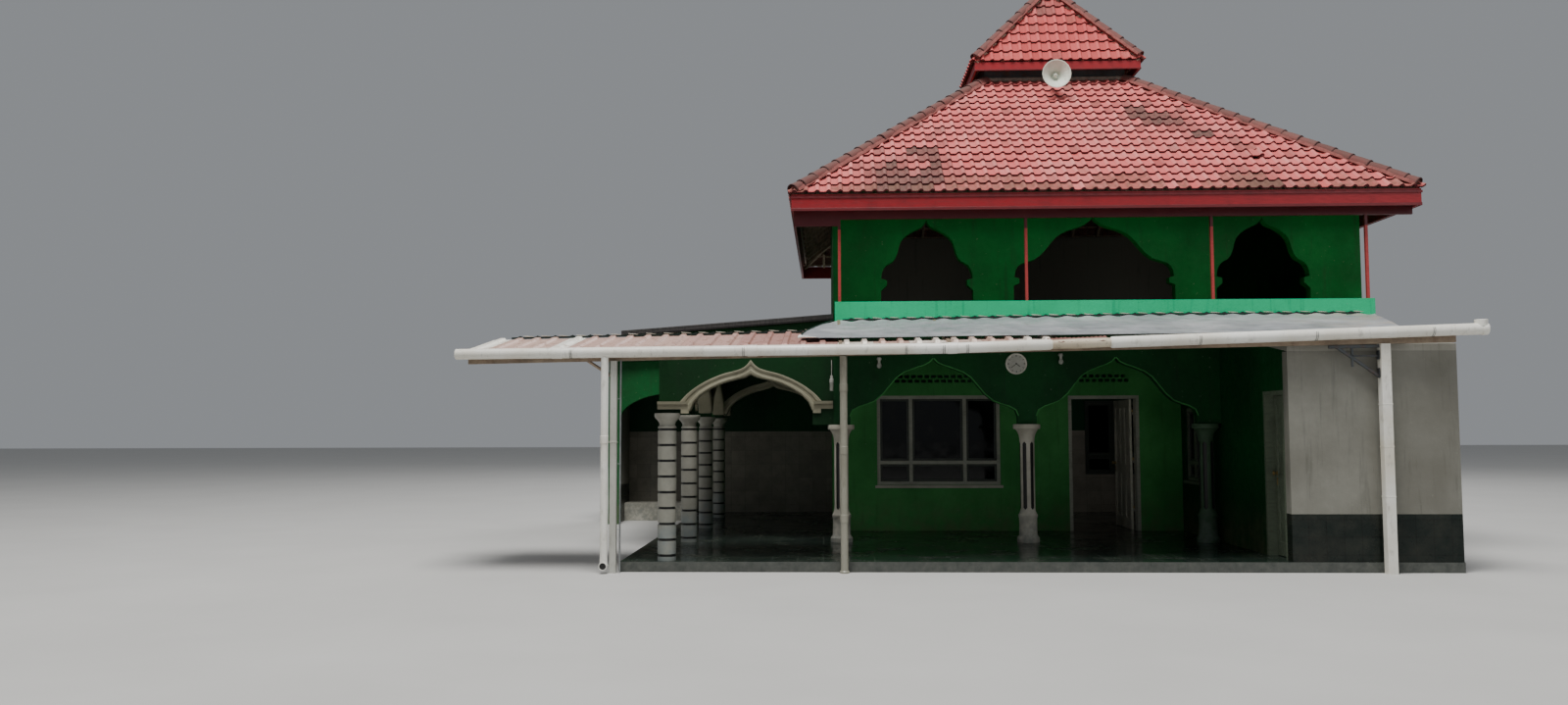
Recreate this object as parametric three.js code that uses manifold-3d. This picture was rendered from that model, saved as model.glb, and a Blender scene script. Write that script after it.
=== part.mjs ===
// A two-storey village mosque: an arcaded veranda, a porch of banded columns at its left, a gallery storey
// with onion-arched openings, a two-tiered tiled hip roof with a loudspeaker, and a sheet canopy in front.
// Units are millimetres. x runs along the front from the middle of the roof, y goes back from the
// plinth's front edge, z goes up from the ground.
import * as THREE from "three";
import { mergeVertices } from "three/addons/utils/BufferGeometryUtils.js";
import { ConvexGeometry } from "three/addons/geometries/ConvexGeometry.js";
import Module from "manifold-3d";

const wasm = await Module();
wasm.setup();

// Driving dimensions
const SEAM = 0.15; // every piece stands this far inside its nominal faces, so neighbours stay apart
const WALL = 150; // rendered brick walls
const HALF_FRONT = 3550; // half the length of the hall's front
const FLOOR = 120; // top of the plinth
const CEILING = 2900; // underside of the upper floor
const UPPER_FLOOR = 3050; // top of the upper floor
const WALL_FRONT = 2330; // front face of the arcade and of the upper wall
const WINDOW_FRONT = 4120; // front face of the wall behind the veranda
const WALL_BACK = 8250; // back face of the building
const SIDE_FACE = 1640; // left face of the side room, which bounds the veranda on the right
const PORCH_FACE = -5600; // left face of the porch's side arcade
const PLINTH_LEFT = -6050;
const WING = { // the short wing behind the porch
  left: -7450, pier: 200, reveal: 60, apex: 2300, foot: 1870, stepDeep: 500, stepTop: 320, eave: 150,
};
const WINDOW_WALL = [WINDOW_FRONT, WALL];

const DOOR = { left: -30, right: 1020, top: 2130 }; // the entrance, over its frame
const SIDE_DOOR = { front: 170, back: 810, top: 2080 };
const WINDOW = { left: -2890, right: -1045, sill: 800, top: 2140 };
const SIDE_WINDOW = { front: 3250, back: 3950, sill: 880, top: 1930 };
const BACK_WINDOWS = [-2000, 2000]; // middles of the two rear windows, as wide as the front one
const FRAME_BAR = 50;

const LOWER_ROOF = {
  halfX: 4150, halfY: 3580, eave: 4780, topX: 1100, topY: 450, top: 7190, thick: 80, roll: 75,
};
const TIER = { halfX: 1370, halfY: 750, eave: 7400, topX: 40, topY: 40, top: 8800, thick: 80, roll: 70 };
const ROOF_MIDDLE = (WALL_FRONT + WALL_BACK) / 2;
const EAVE_FRONT = LOWER_ROOF.halfY - (ROOF_MIDDLE - WALL_FRONT); // overhang in front
const FASCIA = { inset: 50, bottom: 4530, thick: 30 };
const TIER_FASCIA = { insetX: 80, insetY: 40, bottom: 7250 };
const PARAPET = { front: 1910, thick: 120, bottom: 2930, top: 3330 };
const LEAN_TO = { right: -3555, left: -6440, high: 3205, low: 2995, thick: 85, front: 2250, back: 8420 };
const CANOPY = {
  left: -7850, lowRight: -3510, start: 2575, rise: 0.0172, slope: 0.176, back: 1400,
};
const GUTTER = { left: -7960, bend: -2200, right: 3760, low: 2523, middle: 2565, high: 2752, radius: 65 };
const DOWNPIPE = { x: -6210, foot: 40, radius: 45 };

// Finishes
const paint = (color, roughness = 0.8, metalness = 0) =>
  new THREE.MeshStandardMaterial({ color, roughness, metalness });
const DARK_GREEN = paint(0x0a4a22);
const LIGHT_GREEN = paint(0x2f7a4c);
const TEAL = paint(0x18b07e, 0.6);
const WHITE_WALL = paint(0xb4b0a6);
const PALE = paint(0xbebeb4, 0.7);
const FLOOR_TILE = paint(0x20261f, 0.25);
const ROOF_RED = paint(0xc25f5f, 0.85);
const FASCIA_RED = paint(0x872d32, 0.6);
const POST_RED = paint(0x963737, 0.5);
const JOINERY = paint(0x9b9a90, 0.6);
const GLASS = paint(0x1c2422, 0.1);
const PVC = paint(0xe1dfd6, 0.45);
const ZINC = paint(0x96989e, 0.4, 0.7);
const RUSTY_SHEET = paint(0xa8827a, 0.7, 0.3);
const DARK_STEEL = paint(0x55585a, 0.5, 0.6);

// A rectangle's corners, drawn in by the seam or, for a hole, let out by it.
function rect(u0, u1, v0, v1, grow = -SEAM) {
  return [
    [u0 - grow, v0 - grow],
    [u1 + grow, v0 - grow],
    [u1 + grow, v1 + grow],
    [u0 - grow, v1 + grow],
  ];
}

const hole = (u0, u1, v0, v1) => rect(u0, u1, v0, v1, SEAM);

function outline(points, holes = []) {
  const vectors = (list) => list.map(([u, v]) => new THREE.Vector2(u, v));
  const shape = new THREE.Shape(vectors(points));
  shape.holes = holes.map((path) => new THREE.Path(vectors(path)));
  return shape;
}

// An outline with depth; its holes are cut out, because holes in a row leave a triangulated face open.
function extrusion(shape, depth) {
  const straight = (path, length) =>
    new THREE.ExtrudeGeometry(new THREE.Shape(path.getPoints()), { depth: length, bevelEnabled: false });
  const body = straight(shape, depth - 2 * SEAM);
  if (!shape.holes.length) return body;
  const holes = shape.holes.map((path) => straight(path, depth + 2).translate(0, 0, -1));
  return cut(body, ...holes);
}

// An (x, z) outline, drawn backwards from y = front.
const across = (shape, front, depth) =>
  extrusion(shape, depth).rotateX(Math.PI / 2).translate(0, front + depth - SEAM, 0);

// A (y, z) outline, drawn to the right from x = left.
const SIDEWAYS = new THREE.Matrix4().makeBasis(
  new THREE.Vector3(0, 1, 0),
  new THREE.Vector3(0, 0, 1),
  new THREE.Vector3(1, 0, 0),
);
const along = (shape, left, depth) =>
  extrusion(shape, depth).applyMatrix4(SIDEWAYS).translate(left + SEAM, 0, 0);

// An (x, y) outline, drawn upwards from z = bottom.
const upright = (shape, bottom, height) => extrusion(shape, height).translate(0, 0, bottom + SEAM);

function block(x0, x1, y0, y1, z0, z1) {
  const size = [x1 - x0, y1 - y0, z1 - z0].map((length) => length - 2 * SEAM);
  return new THREE.BoxGeometry(...size).translate((x0 + x1) / 2, (y0 + y1) / 2, (z0 + z1) / 2);
}

function solid(geometry) {
  const bare = geometry.index ? geometry.toNonIndexed() : geometry.clone();
  bare.deleteAttribute("normal");
  bare.deleteAttribute("uv");
  const merged = mergeVertices(bare, 1e-3);
  return new wasm.Manifold(
    new wasm.Mesh({
      numProp: 3,
      vertProperties: merged.attributes.position.array,
      triVerts: new Uint32Array(merged.index.array),
    }),
  );
}

function geometryOf(manifold) {
  const { vertProperties, triVerts } = manifold.getMesh();
  const geometry = new THREE.BufferGeometry();
  geometry.setAttribute("position", new THREE.BufferAttribute(new Float32Array(vertProperties), 3));
  geometry.setIndex(new THREE.BufferAttribute(new Uint32Array(triVerts), 1));
  geometry.computeVertexNormals();
  return geometry;
}

const join = (first, ...rest) =>
  geometryOf(rest.reduce((whole, piece) => whole.add(solid(piece)), solid(first)));

const cut = (first, ...rest) =>
  geometryOf(rest.reduce((whole, piece) => whole.subtract(solid(piece)), solid(first)));

// A straight bar between two points, with a polygonal section.
function bar(from, to, radius, sides = 4) {
  const start = new THREE.Vector3(...from);
  const end = new THREE.Vector3(...to);
  const way = end.clone().sub(start);
  const turn = new THREE.Quaternion().setFromUnitVectors(new THREE.Vector3(0, 1, 0), way.clone().normalize());
  const middle = start.clone().add(end).divideScalar(2);
  return new THREE.CylinderGeometry(radius, radius, way.length(), sides, 1, false, Math.PI / sides)
    .applyQuaternion(turn)
    .translate(middle.x, middle.y, middle.z);
}

// A turned piece: [radius, height] pairs from the bottom to the top, closed on the axis.
function turned(profile, sides) {
  const points = profile.map(([radius, height]) => new THREE.Vector2(radius, height));
  const closed = [new THREE.Vector2(0, profile[0][1]), ...points, new THREE.Vector2(0, profile.at(-1)[1])];
  return new THREE.LatheGeometry(closed, sides).rotateX(Math.PI / 2);
}

function place(group, name, material, geometry, [x, y, z] = [0, 0, 0]) {
  const mesh = new THREE.Mesh(geometry, material);
  mesh.name = name;
  mesh.position.set(x, y, z);
  group.add(mesh);
  return mesh;
}

// Arch profiles, from the apex down one side: [offset, drop] ends of cubic curves with their two controls,
// then straight corners. Each is scaled to its opening.
const OGEE = {
  half: 1130,
  rise: 780,
  curves: [
    [[0, 0], [40, 90], [200, 100], [400, 190]],
    [[400, 190], [550, 250], [620, 470], [800, 580]],
    [[800, 580], [930, 650], [1130, 640], [1130, 780]],
  ],
  corners: [],
};
const PORCH_ARCH = {
  half: 840,
  rise: 500,
  curves: [
    [[0, 0], [60, 60], [250, 60], [406, 125]],
    [[406, 125], [600, 200], [800, 320], [840, 500]],
  ],
  corners: [],
};
const NARROW_ONION = {
  half: 625,
  rise: 965,
  curves: [
    [[0, 0], [20, 70], [80, 110], [150, 130]],
    [[150, 130], [260, 185], [355, 245], [375, 360]],
    [[375, 360], [400, 480], [430, 570], [520, 595]],
    [[520, 595], [585, 620], [620, 710], [620, 800]],
  ],
  corners: [[545, 820], [545, 890], [625, 965]],
};
const WIDE_ONION = {
  half: 1085,
  rise: 935,
  curves: [
    [[0, 0], [25, 60], [110, 110], [210, 145]],
    [[210, 145], [360, 175], [480, 235], [560, 340]],
    [[560, 340], [650, 450], [740, 595], [900, 612]],
    [[900, 612], [1010, 632], [1070, 690], [1072, 820]],
  ],
  corners: [[1008, 838], [1008, 905], [1085, 935]],
};
const CURVE_STEPS = 4;

// The arch's line from its left foot over the apex to its right foot.
function archLine(profile, middle, half, apex, foot) {
  const side = profile.curves.flatMap((ends, index) => {
    const curve = new THREE.CubicBezierCurve(...ends.map(([u, v]) => new THREE.Vector2(u, v)));
    return curve.getPoints(CURVE_STEPS).slice(index ? 1 : 0).map((point) => [point.x, point.y]);
  });
  const wide = half / profile.half;
  const tall = (apex - foot) / profile.rise;
  const scaled = [...side, ...profile.corners].map(([u, v]) => [u * wide, apex - v * tall]);
  const right = scaled.map(([u, v]) => [middle + u, v]);
  const left = scaled.slice(1).reverse().map(([u, v]) => [middle - u, v]);
  return [...left, ...right];
}

// A wall's outline over a row of arches: piers end at the given bottoms, from left to right.
function arcade(left, right, top, bottoms, arches) {
  const points = [[left + SEAM, top - SEAM], [left + SEAM, bottoms[0] + SEAM]];
  arches.forEach(({ profile, middle, half, apex, foot }, index) => {
    points.push([middle - half, bottoms[index] + SEAM]);
    points.push(...archLine(profile, middle, half, apex, foot));
    points.push([middle + half, bottoms[index + 1] + SEAM]);
  });
  points.push([right - SEAM, bottoms.at(-1) + SEAM], [right - SEAM, top - SEAM]);
  return outline(points);
}

// The pieces, storey by storey

const mosque = new THREE.Group();
const ground = new THREE.Group();
const gallery = new THREE.Group();
const roofs = new THREE.Group();
const canopy = new THREE.Group();
mosque.add(ground, gallery, roofs, canopy);

const leanToAt = (x) =>
  LEAN_TO.high + ((x - LEAN_TO.right) * (LEAN_TO.high - LEAN_TO.low)) / (LEAN_TO.right - LEAN_TO.left);
const leanToUnder = (x) => leanToAt(x) - LEAN_TO.thick;

function buildFloors() {
  const plan = rect(PLINTH_LEFT, HALF_FRONT, 0, WALL_BACK);
  place(ground, "plinth", FLOOR_TILE, upright(outline(plan), 0, FLOOR));
  const slab = block(-HALF_FRONT, HALF_FRONT, PARAPET.front + PARAPET.thick, WALL_BACK, CEILING, UPPER_FLOOR);
  place(gallery, "upper_floor", PALE, slab);
}

// Columns of the arcade, with a fluted shaft left plain here, and the round banded ones of the porch.
const ARCADE_COLUMNS = [-3450, -940, 1455];
const ARCADE_CAPITAL = 1700;
const PORCH_COLUMN_X = -5525;
const PORCH_COLUMN_GAP = 2230;
const PORCH_CAPITAL = 1835;
const COLUMN_SIDES = 16;
const COLUMN_LINE = WALL_FRONT + WALL / 2;

function buildColumns() {
  const slender = [
    [150, 0], [150, 60], [112, 110], [96, 170], [96, 1330], [112, 1350], [112, 1385], [96, 1400],
    [120, 1450], [178, 1500], [182, 1580],
  ];
  const height = ARCADE_CAPITAL - FLOOR - 2 * SEAM;
  const slenderScaled = slender.map(([radius, z]) => [radius, (z * height) / 1580]);
  ARCADE_COLUMNS.forEach((x, index) => {
    const shaft = turned(slenderScaled, COLUMN_SIDES);
    place(ground, `arcade_column_${index + 1}`, PALE, shaft, [x, COLUMN_LINE, FLOOR + SEAM]);
  });
  const stout = [
    [118, 0], [118, 60], [109, 70], [109, 1560], [92, 1580], [100, 1615], [150, 1670], [150, 1715],
  ];
  const stoutScaled = stout.map(([radius, z]) => [radius, (z * (PORCH_CAPITAL - FLOOR - 2 * SEAM)) / 1715]);
  ["a", "b", "c", "d"].forEach((letter, index) => {
    const shaft = turned(stoutScaled, COLUMN_SIDES);
    const y = COLUMN_LINE + (index - 1) * PORCH_COLUMN_GAP;
    place(ground, `porch_column_${letter}`, PALE, shaft, [PORCH_COLUMN_X, y, FLOOR + SEAM]);
  });
}

const ARCHES = [0, 1].map((index) => {
  const [left, right] = ARCADE_COLUMNS.slice(index, index + 2);
  const half = (right - left) / 2 - 125;
  return { profile: OGEE, middle: (left + right) / 2, half, apex: 2590, foot: 1810 };
});

function buildArcade() {
  const bottoms = [ARCADE_CAPITAL, ARCADE_CAPITAL, ARCADE_CAPITAL];
  const wall = arcade(-HALF_FRONT, SIDE_FACE, CEILING, bottoms, ARCHES);
  place(ground, "arcade_wall", DARK_GREEN, across(wall, WALL_FRONT, WALL));
}

const PORCH_MIDDLE = -4676;
const PORCH_ARCH_APEX = 2393;
const PORCH_ARCH_FOOT = 1893;
const PORCH_LEFT_END = -5930;
const LEDGE_BOTTOM = 1916;
const PIER_HALF = 95;
const porchArch = (middle, half) => ({
  profile: PORCH_ARCH, middle, half, apex: PORCH_ARCH_APEX, foot: PORCH_ARCH_FOOT,
});

// The porch's walls stand on the columns' capitals under the lean-to roof.
function buildPorch() {
  const left = PORCH_MIDDLE - PORCH_ARCH.half;
  const right = PORCH_MIDDLE + PORCH_ARCH.half;
  const front = outline([
    [PORCH_LEFT_END, leanToUnder(PORCH_LEFT_END) - 2 * SEAM],
    [PORCH_LEFT_END, LEDGE_BOTTOM],
    [PORCH_FACE, LEDGE_BOTTOM],
    [PORCH_FACE, PORCH_CAPITAL + SEAM],
    [left, PORCH_CAPITAL + SEAM],
    ...archLine(PORCH_ARCH, PORCH_MIDDLE, PORCH_ARCH.half, PORCH_ARCH_APEX, PORCH_ARCH_FOOT),
    [right, ARCADE_CAPITAL + SEAM],
    [-HALF_FRONT - SEAM, ARCADE_CAPITAL + SEAM],
    [-HALF_FRONT - SEAM, leanToUnder(-HALF_FRONT) - 2 * SEAM],
  ]);
  place(ground, "porch_front_arch", DARK_GREEN, across(front, WALL_FRONT, WALL));

  const start = WALL_FRONT + WALL;
  const end = WALL_BACK - WALL;
  const columns = [0, 1, 2].map((index) => COLUMN_LINE + index * PORCH_COLUMN_GAP);
  const feet = [...columns, end - 20 + PIER_HALF];
  const arches = columns.map((y, index) => porchArch(
    (y + feet[index + 1]) / 2, (feet[index + 1] - y) / 2 - PIER_HALF,
  ));
  const bottoms = [PORCH_CAPITAL, PORCH_CAPITAL, PORCH_CAPITAL, PORCH_ARCH_FOOT - 40];
  const side = arcade(start, end, leanToUnder(PORCH_FACE) - SEAM, bottoms, arches);
  place(ground, "porch_side_arcade", DARK_GREEN, along(side, PORCH_FACE, WALL));

  const crossLeft = PORCH_FACE + WALL;
  const cross = arcade(
    crossLeft, -HALF_FRONT, leanToUnder(crossLeft) - 1, [LEDGE_BOTTOM - 30, LEDGE_BOTTOM - 30],
    [porchArch(-4570, 820)],
  );
  place(ground, "porch_cross_arch", DARK_GREEN, across(cross, columns[2] - WALL / 2, WALL));

  const slope = outline([
    [LEAN_TO.left, LEAN_TO.low - LEAN_TO.thick],
    [LEAN_TO.right, LEAN_TO.high - LEAN_TO.thick],
    [LEAN_TO.right, LEAN_TO.high],
    [LEAN_TO.left, LEAN_TO.low],
  ]);
  const reach = LEAN_TO.back - LEAN_TO.front;
  place(ground, "lean_to_roof", DARK_STEEL, across(slope, LEAN_TO.front, reach));
}

// A short wing stands on the ground behind the porch: an arch in front, a plain wall at its left, a step
// along its back wall, and a roof that carries the porch's slope on to the left.
function buildWing() {
  const front = COLUMN_LINE + 2 * PORCH_COLUMN_GAP - WALL / 2;
  const back = front + WALL;
  const [pier, reveal] = [WING.left + WING.pier, PORCH_FACE - WING.reveal];
  const middle = (pier + reveal) / 2;
  const arch = { profile: PORCH_ARCH, middle, half: reveal - middle, apex: WING.apex, foot: WING.foot };
  const top = leanToUnder(WING.left) - SEAM;
  const wall = arcade(WING.left, PORCH_FACE, top, [0, PORCH_CAPITAL], [arch]);
  place(ground, "wing_arch_wall", LIGHT_GREEN, across(wall, front, WALL));
  const left = outline(rect(back, WALL_BACK - WALL, 0, top));
  place(ground, "wing_left_wall", WHITE_WALL, along(left, WING.left, WALL));
  const stepBack = WALL_BACK - WALL;
  const step = block(WING.left + WALL, PLINTH_LEFT, stepBack - WING.stepDeep, stepBack, 0, WING.stepTop);
  place(ground, "wing_step", PALE, step);

  const [roofLeft, roofRight] = [WING.left - WING.eave, LEAN_TO.left - 2 * SEAM];
  const slope = outline([
    [roofLeft, leanToUnder(roofLeft)],
    [roofRight, leanToUnder(roofRight)],
    [roofRight, leanToAt(roofRight)],
    [roofLeft, leanToAt(roofLeft)],
  ]);
  const roofFront = front - WING.eave;
  place(ground, "wing_roof", DARK_STEEL, across(slope, roofFront, LEAN_TO.back - roofFront));
}

// Two rows of small square vents, set like bricks, over the window and the door.
function ventHoles(left, right, columns) {
  const pitch = (right - left) / columns;
  const holes = [];
  for (let row = 0; row < 2; row += 1) {
    for (let column = 0; column < columns - row; column += 1) {
      const u = left + (column + 0.5 + row / 2) * pitch;
      const v = 2357 + row * 68;
      holes.push(rect(u - pitch * 0.36, u + pitch * 0.36, v - 24, v + 24, 0));
    }
  }
  return holes;
}

function buildGroundWalls() {
  const windowHole = hole(WINDOW.left, WINDOW.right, WINDOW.sill, WINDOW.top);
  const left = outline(
    rect(-HALF_FRONT, DOOR.left, FLOOR, CEILING),
    [windowHole, ...ventHoles(-2630, -1440, 12)],
  );
  const corner = block(
    -HALF_FRONT, WALL - HALF_FRONT, WINDOW_FRONT + WALL / 2, WALL_BACK - WALL, FLOOR, CEILING,
  );
  place(ground, "hall_left_walls", LIGHT_GREEN, join(across(left, ...WINDOW_WALL), corner));
  const over = outline(rect(DOOR.left, DOOR.right, DOOR.top, CEILING), ventHoles(130, 890, 8));
  place(ground, "door_lintel_wall", LIGHT_GREEN, across(over, ...WINDOW_WALL));
  const right = outline(rect(DOOR.right, HALF_FRONT - WALL, FLOOR, CEILING));
  place(ground, "hall_front_wall_right", LIGHT_GREEN, across(right, ...WINDOW_WALL));

  const wide = (WINDOW.right - WINDOW.left) / 2;
  const rear = outline(
    [
      [WING.left + SEAM, SEAM],
      [PLINTH_LEFT - SEAM, SEAM],
      [PLINTH_LEFT - SEAM, FLOOR + SEAM],
      [HALF_FRONT - WALL - SEAM, FLOOR + SEAM],
      [HALF_FRONT - WALL - SEAM, CEILING - SEAM],
      [-HALF_FRONT - SEAM, CEILING - SEAM],
      [-HALF_FRONT - SEAM, leanToUnder(-HALF_FRONT) - 2 * SEAM],
      [WING.left + SEAM, leanToUnder(WING.left) - 2 * SEAM],
    ],
    BACK_WINDOWS.map((x) => hole(x - wide, x + wide, WINDOW.sill, WINDOW.top)),
  );
  place(ground, "back_wall", DARK_GREEN, across(rear, WALL_BACK - WALL, WALL));
}

// The side room's walls carry a slab of their own, raked in front and level behind.
const ROOM_FRONT = 20;
const ROOM_TOP = 2600; // top of the slab in front
const ROOM_SLAB = 80;
const RAKE_BACK = 1900;
const SLAB_BACK = PARAPET.front + PARAPET.thick;
const rake = (y) => {
  const share = Math.min(1, (y - ROOM_FRONT) / (RAKE_BACK - ROOM_FRONT));
  return ROOM_TOP + share * (CEILING - ROOM_TOP);
};

function rakedOutline(front, back, bottom, holes = []) {
  const under = (y) => rake(y) - ROOM_SLAB - SEAM;
  const points = [[front + SEAM, bottom + SEAM], [back - SEAM, bottom + SEAM]];
  if (back > SLAB_BACK) {
    points.push([back - SEAM, CEILING - SEAM], [SLAB_BACK + SEAM, CEILING - SEAM]);
    points.push([SLAB_BACK + SEAM, under(SLAB_BACK)], [RAKE_BACK, under(RAKE_BACK)]);
  } else {
    points.push([back - SEAM, under(back)]);
  }
  points.push([front + SEAM, under(front)]);
  return outline(points, holes);
}

function buildSideRoom() {
  const inner = ROOM_FRONT + WALL;
  const frontTop = ROOM_TOP - ROOM_SLAB - SEAM;
  const frontWall = block(SIDE_FACE, HALF_FRONT - WALL / 2, ROOM_FRONT, inner, FLOOR, frontTop);
  const party = along(rakedOutline(ROOM_FRONT, WALL_BACK, FLOOR), HALF_FRONT - WALL, WALL);
  place(ground, "room_front_and_party_wall", WHITE_WALL, join(frontWall, party));
  place(ground, "side_wall_over_door", DARK_GREEN,
    along(rakedOutline(inner, SIDE_DOOR.back, SIDE_DOOR.top), SIDE_FACE, WALL));
  const window = hole(SIDE_WINDOW.front, SIDE_WINDOW.back, SIDE_WINDOW.sill, SIDE_WINDOW.top);
  place(ground, "side_wall_rear", DARK_GREEN,
    along(rakedOutline(SIDE_DOOR.back, WINDOW_FRONT, FLOOR, [window]), SIDE_FACE, WALL));

  const slab = outline([
    [ROOM_FRONT, ROOM_TOP - ROOM_SLAB],
    [RAKE_BACK, CEILING - ROOM_SLAB],
    [SLAB_BACK - SEAM, CEILING - ROOM_SLAB],
    [SLAB_BACK - SEAM, CEILING - SEAM],
    [RAKE_BACK, CEILING - SEAM],
    [ROOM_FRONT, ROOM_TOP],
  ]);
  place(ground, "side_room_roof", PALE, along(slab, SIDE_FACE, HALF_FRONT - SIDE_FACE));
}

// A window frame with uprights and one low transom, as an outline with a hole for each pane.
function frameOutline(u0, u1, v0, v1, uprights, transom) {
  const lines = [u0 + FRAME_BAR / 2, ...uprights, u1 - FRAME_BAR / 2];
  const levels = [v0 + FRAME_BAR / 2, transom, v1 - FRAME_BAR / 2];
  const panes = [];
  for (let i = 0; i + 1 < lines.length; i += 1) {
    for (let j = 0; j + 1 < levels.length; j += 1) {
      const half = FRAME_BAR / 2;
      panes.push(rect(lines[i] + half, lines[i + 1] - half, levels[j] + half, levels[j + 1] - half, 0));
    }
  }
  return outline(rect(u0, u1, v0, v1), panes);
}

const WINDOW_INSET = 30;
const FRAME_DEPTH = 80;
const PANE = 6;
const UPRIGHTS = [510, 1317]; // from the frame's left end
const TRANSOM = 1136;

function buildWindows() {
  const wide = (WINDOW.right - WINDOW.left) / 2;
  const windows = [
    { name: "hall_window", middle: (WINDOW.left + WINDOW.right) / 2, front: WINDOW_FRONT + WINDOW_INSET },
    { name: "rear_window_1", middle: BACK_WINDOWS[0], front: WALL_BACK - WINDOW_INSET - FRAME_DEPTH },
    { name: "rear_window_2", middle: BACK_WINDOWS[1], front: WALL_BACK - WINDOW_INSET - FRAME_DEPTH },
  ];
  windows.forEach(({ name, middle, front }) => {
    const uprights = UPRIGHTS.map((offset) => middle - wide + offset);
    const frame = frameOutline(middle - wide, middle + wide, WINDOW.sill, WINDOW.top, uprights, TRANSOM);
    place(ground, `${name}_frame`, JOINERY, across(frame, front, FRAME_DEPTH));
  });
  const glassFront = WINDOW_FRONT + WINDOW_INSET + FRAME_DEPTH;
  place(ground, "hall_window_glass", GLASS, block(
    WINDOW.left, WINDOW.right, glassFront, glassFront + PANE, WINDOW.sill, WINDOW.top,
  ));
  const middle = (SIDE_WINDOW.front + SIDE_WINDOW.back) / 2;
  const side = frameOutline(
    SIDE_WINDOW.front, SIDE_WINDOW.back, SIDE_WINDOW.sill, SIDE_WINDOW.top, [middle], TRANSOM,
  );
  place(ground, "side_window_frame", JOINERY, along(side, SIDE_FACE + WINDOW_INSET, FRAME_DEPTH));
}

// A door set in its own frame: x runs from the hinge jamb, the closed leaf reaches towards -x, and the
// wall's inner face is y = 0. The pin stands just inside the jamb's corner.
const PIN = { x: -4, y: 10, radius: 7 };
const HINGE_HEIGHTS = [280, 1000, 1720];
const KNUCKLE = 40;
const LEAF = { thick: 35, inset: 6, gap: 5.5 };
const LEVER = { out: 45, height: 980, free: 90 }; // free: from the leaf's free edge

function knuckle(z, height) {
  return new THREE.CylinderGeometry(PIN.radius, PIN.radius, height, 10)
    .rotateX(Math.PI / 2)
    .translate(0, 0, z + height / 2);
}

function doorFrame(width, height) {
  const bars = outline([
    [-width - FRAME_BAR + SEAM, SEAM], [-width, SEAM], [-width, height], [0, height], [0, SEAM],
    [FRAME_BAR - SEAM, SEAM], [FRAME_BAR - SEAM, height + FRAME_BAR - SEAM],
    [-width - FRAME_BAR + SEAM, height + FRAME_BAR - SEAM],
  ]);
  const frame = across(bars, -WALL, WALL);
  const flaps = HINGE_HEIGHTS.flatMap((z) => [
    knuckle(z, KNUCKLE).translate(PIN.x, PIN.y, 0),
    new THREE.BoxGeometry(20, 9, KNUCKLE).translate(PIN.x + 10, 0.5, z + KNUCKLE / 2),
  ]);
  return join(frame, ...flaps);
}

// The leaf is drawn closed, with its own origin on the pin.
function doorLeaf(width, height) {
  const right = -PIN.x - LEAF.gap;
  const inner = -PIN.y - LEAF.inset;
  const board = new THREE.BoxGeometry(width - 2 * LEAF.gap, LEAF.thick, height - 2 * LEAF.gap).translate(
    right - width / 2 + LEAF.gap, inner - LEAF.thick / 2, height / 2,
  );
  const flaps = HINGE_HEIGHTS.flatMap((z) => [
    knuckle(z + KNUCKLE + 2 * SEAM, KNUCKLE),
    new THREE.BoxGeometry(5, -inner + 12, KNUCKLE)
      .translate(-4.5, (inner - 12) / 2, z + 1.5 * KNUCKLE + 2 * SEAM),
  ]);
  const { out, height: hand, free } = LEVER;
  const outer = inner - LEAF.thick;
  const leverX = right - width + free;
  const lever = bar([leverX, inner + 5, hand], [leverX, outer - out, hand], 9, 8);
  const grip = bar([leverX - 5, outer - out + 5, hand], [leverX + 110, outer - out + 5, hand], 8, 8);
  return join(board, ...flaps, lever, grip);
}

function buildDoor(name, at, turn, swing, width, height) {
  const set = new THREE.Group();
  set.position.set(...at);
  set.rotation.z = turn;
  place(set, `${name}_frame`, JOINERY, doorFrame(width, height));
  const leaf = place(set, `${name}_leaf`, JOINERY, doorLeaf(width, height), [PIN.x, PIN.y, 0]);
  leaf.rotation.z = swing;
  ground.add(set);
}

function buildDoors() {
  const wide = DOOR.right - DOOR.left - 2 * FRAME_BAR;
  const tall = DOOR.top - FLOOR - FRAME_BAR;
  const hinge = [DOOR.right - FRAME_BAR, WINDOW_FRONT + WALL, FLOOR];
  buildDoor("entrance_door", hinge, 0, -Math.PI / 2, wide, tall);
  const sideHinge = [SIDE_FACE + WALL, SIDE_DOOR.front + FRAME_BAR, FLOOR];
  const narrow = SIDE_DOOR.back - SIDE_DOOR.front - 2 * FRAME_BAR;
  buildDoor("side_door", sideHinge, -Math.PI / 2, 0, narrow, SIDE_DOOR.top - FLOOR - FRAME_BAR);
}

// A roof's shell has planes from its eaves up to a small rectangle at its top, and a flat lip under them.
// This is the height of its underside at a distance in from the eaves.
const LIP = 10;
const slopeAt = (roof, insetX, insetY) => {
  const climb = roof.top - roof.eave;
  const alongX = ((insetX - LIP) * climb) / (roof.halfX - LIP - roof.topX);
  const alongY = ((insetY - LIP) * climb) / (roof.halfY - LIP - roof.topY);
  return roof.eave - roof.thick + Math.min(alongX, alongY);
};

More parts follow.
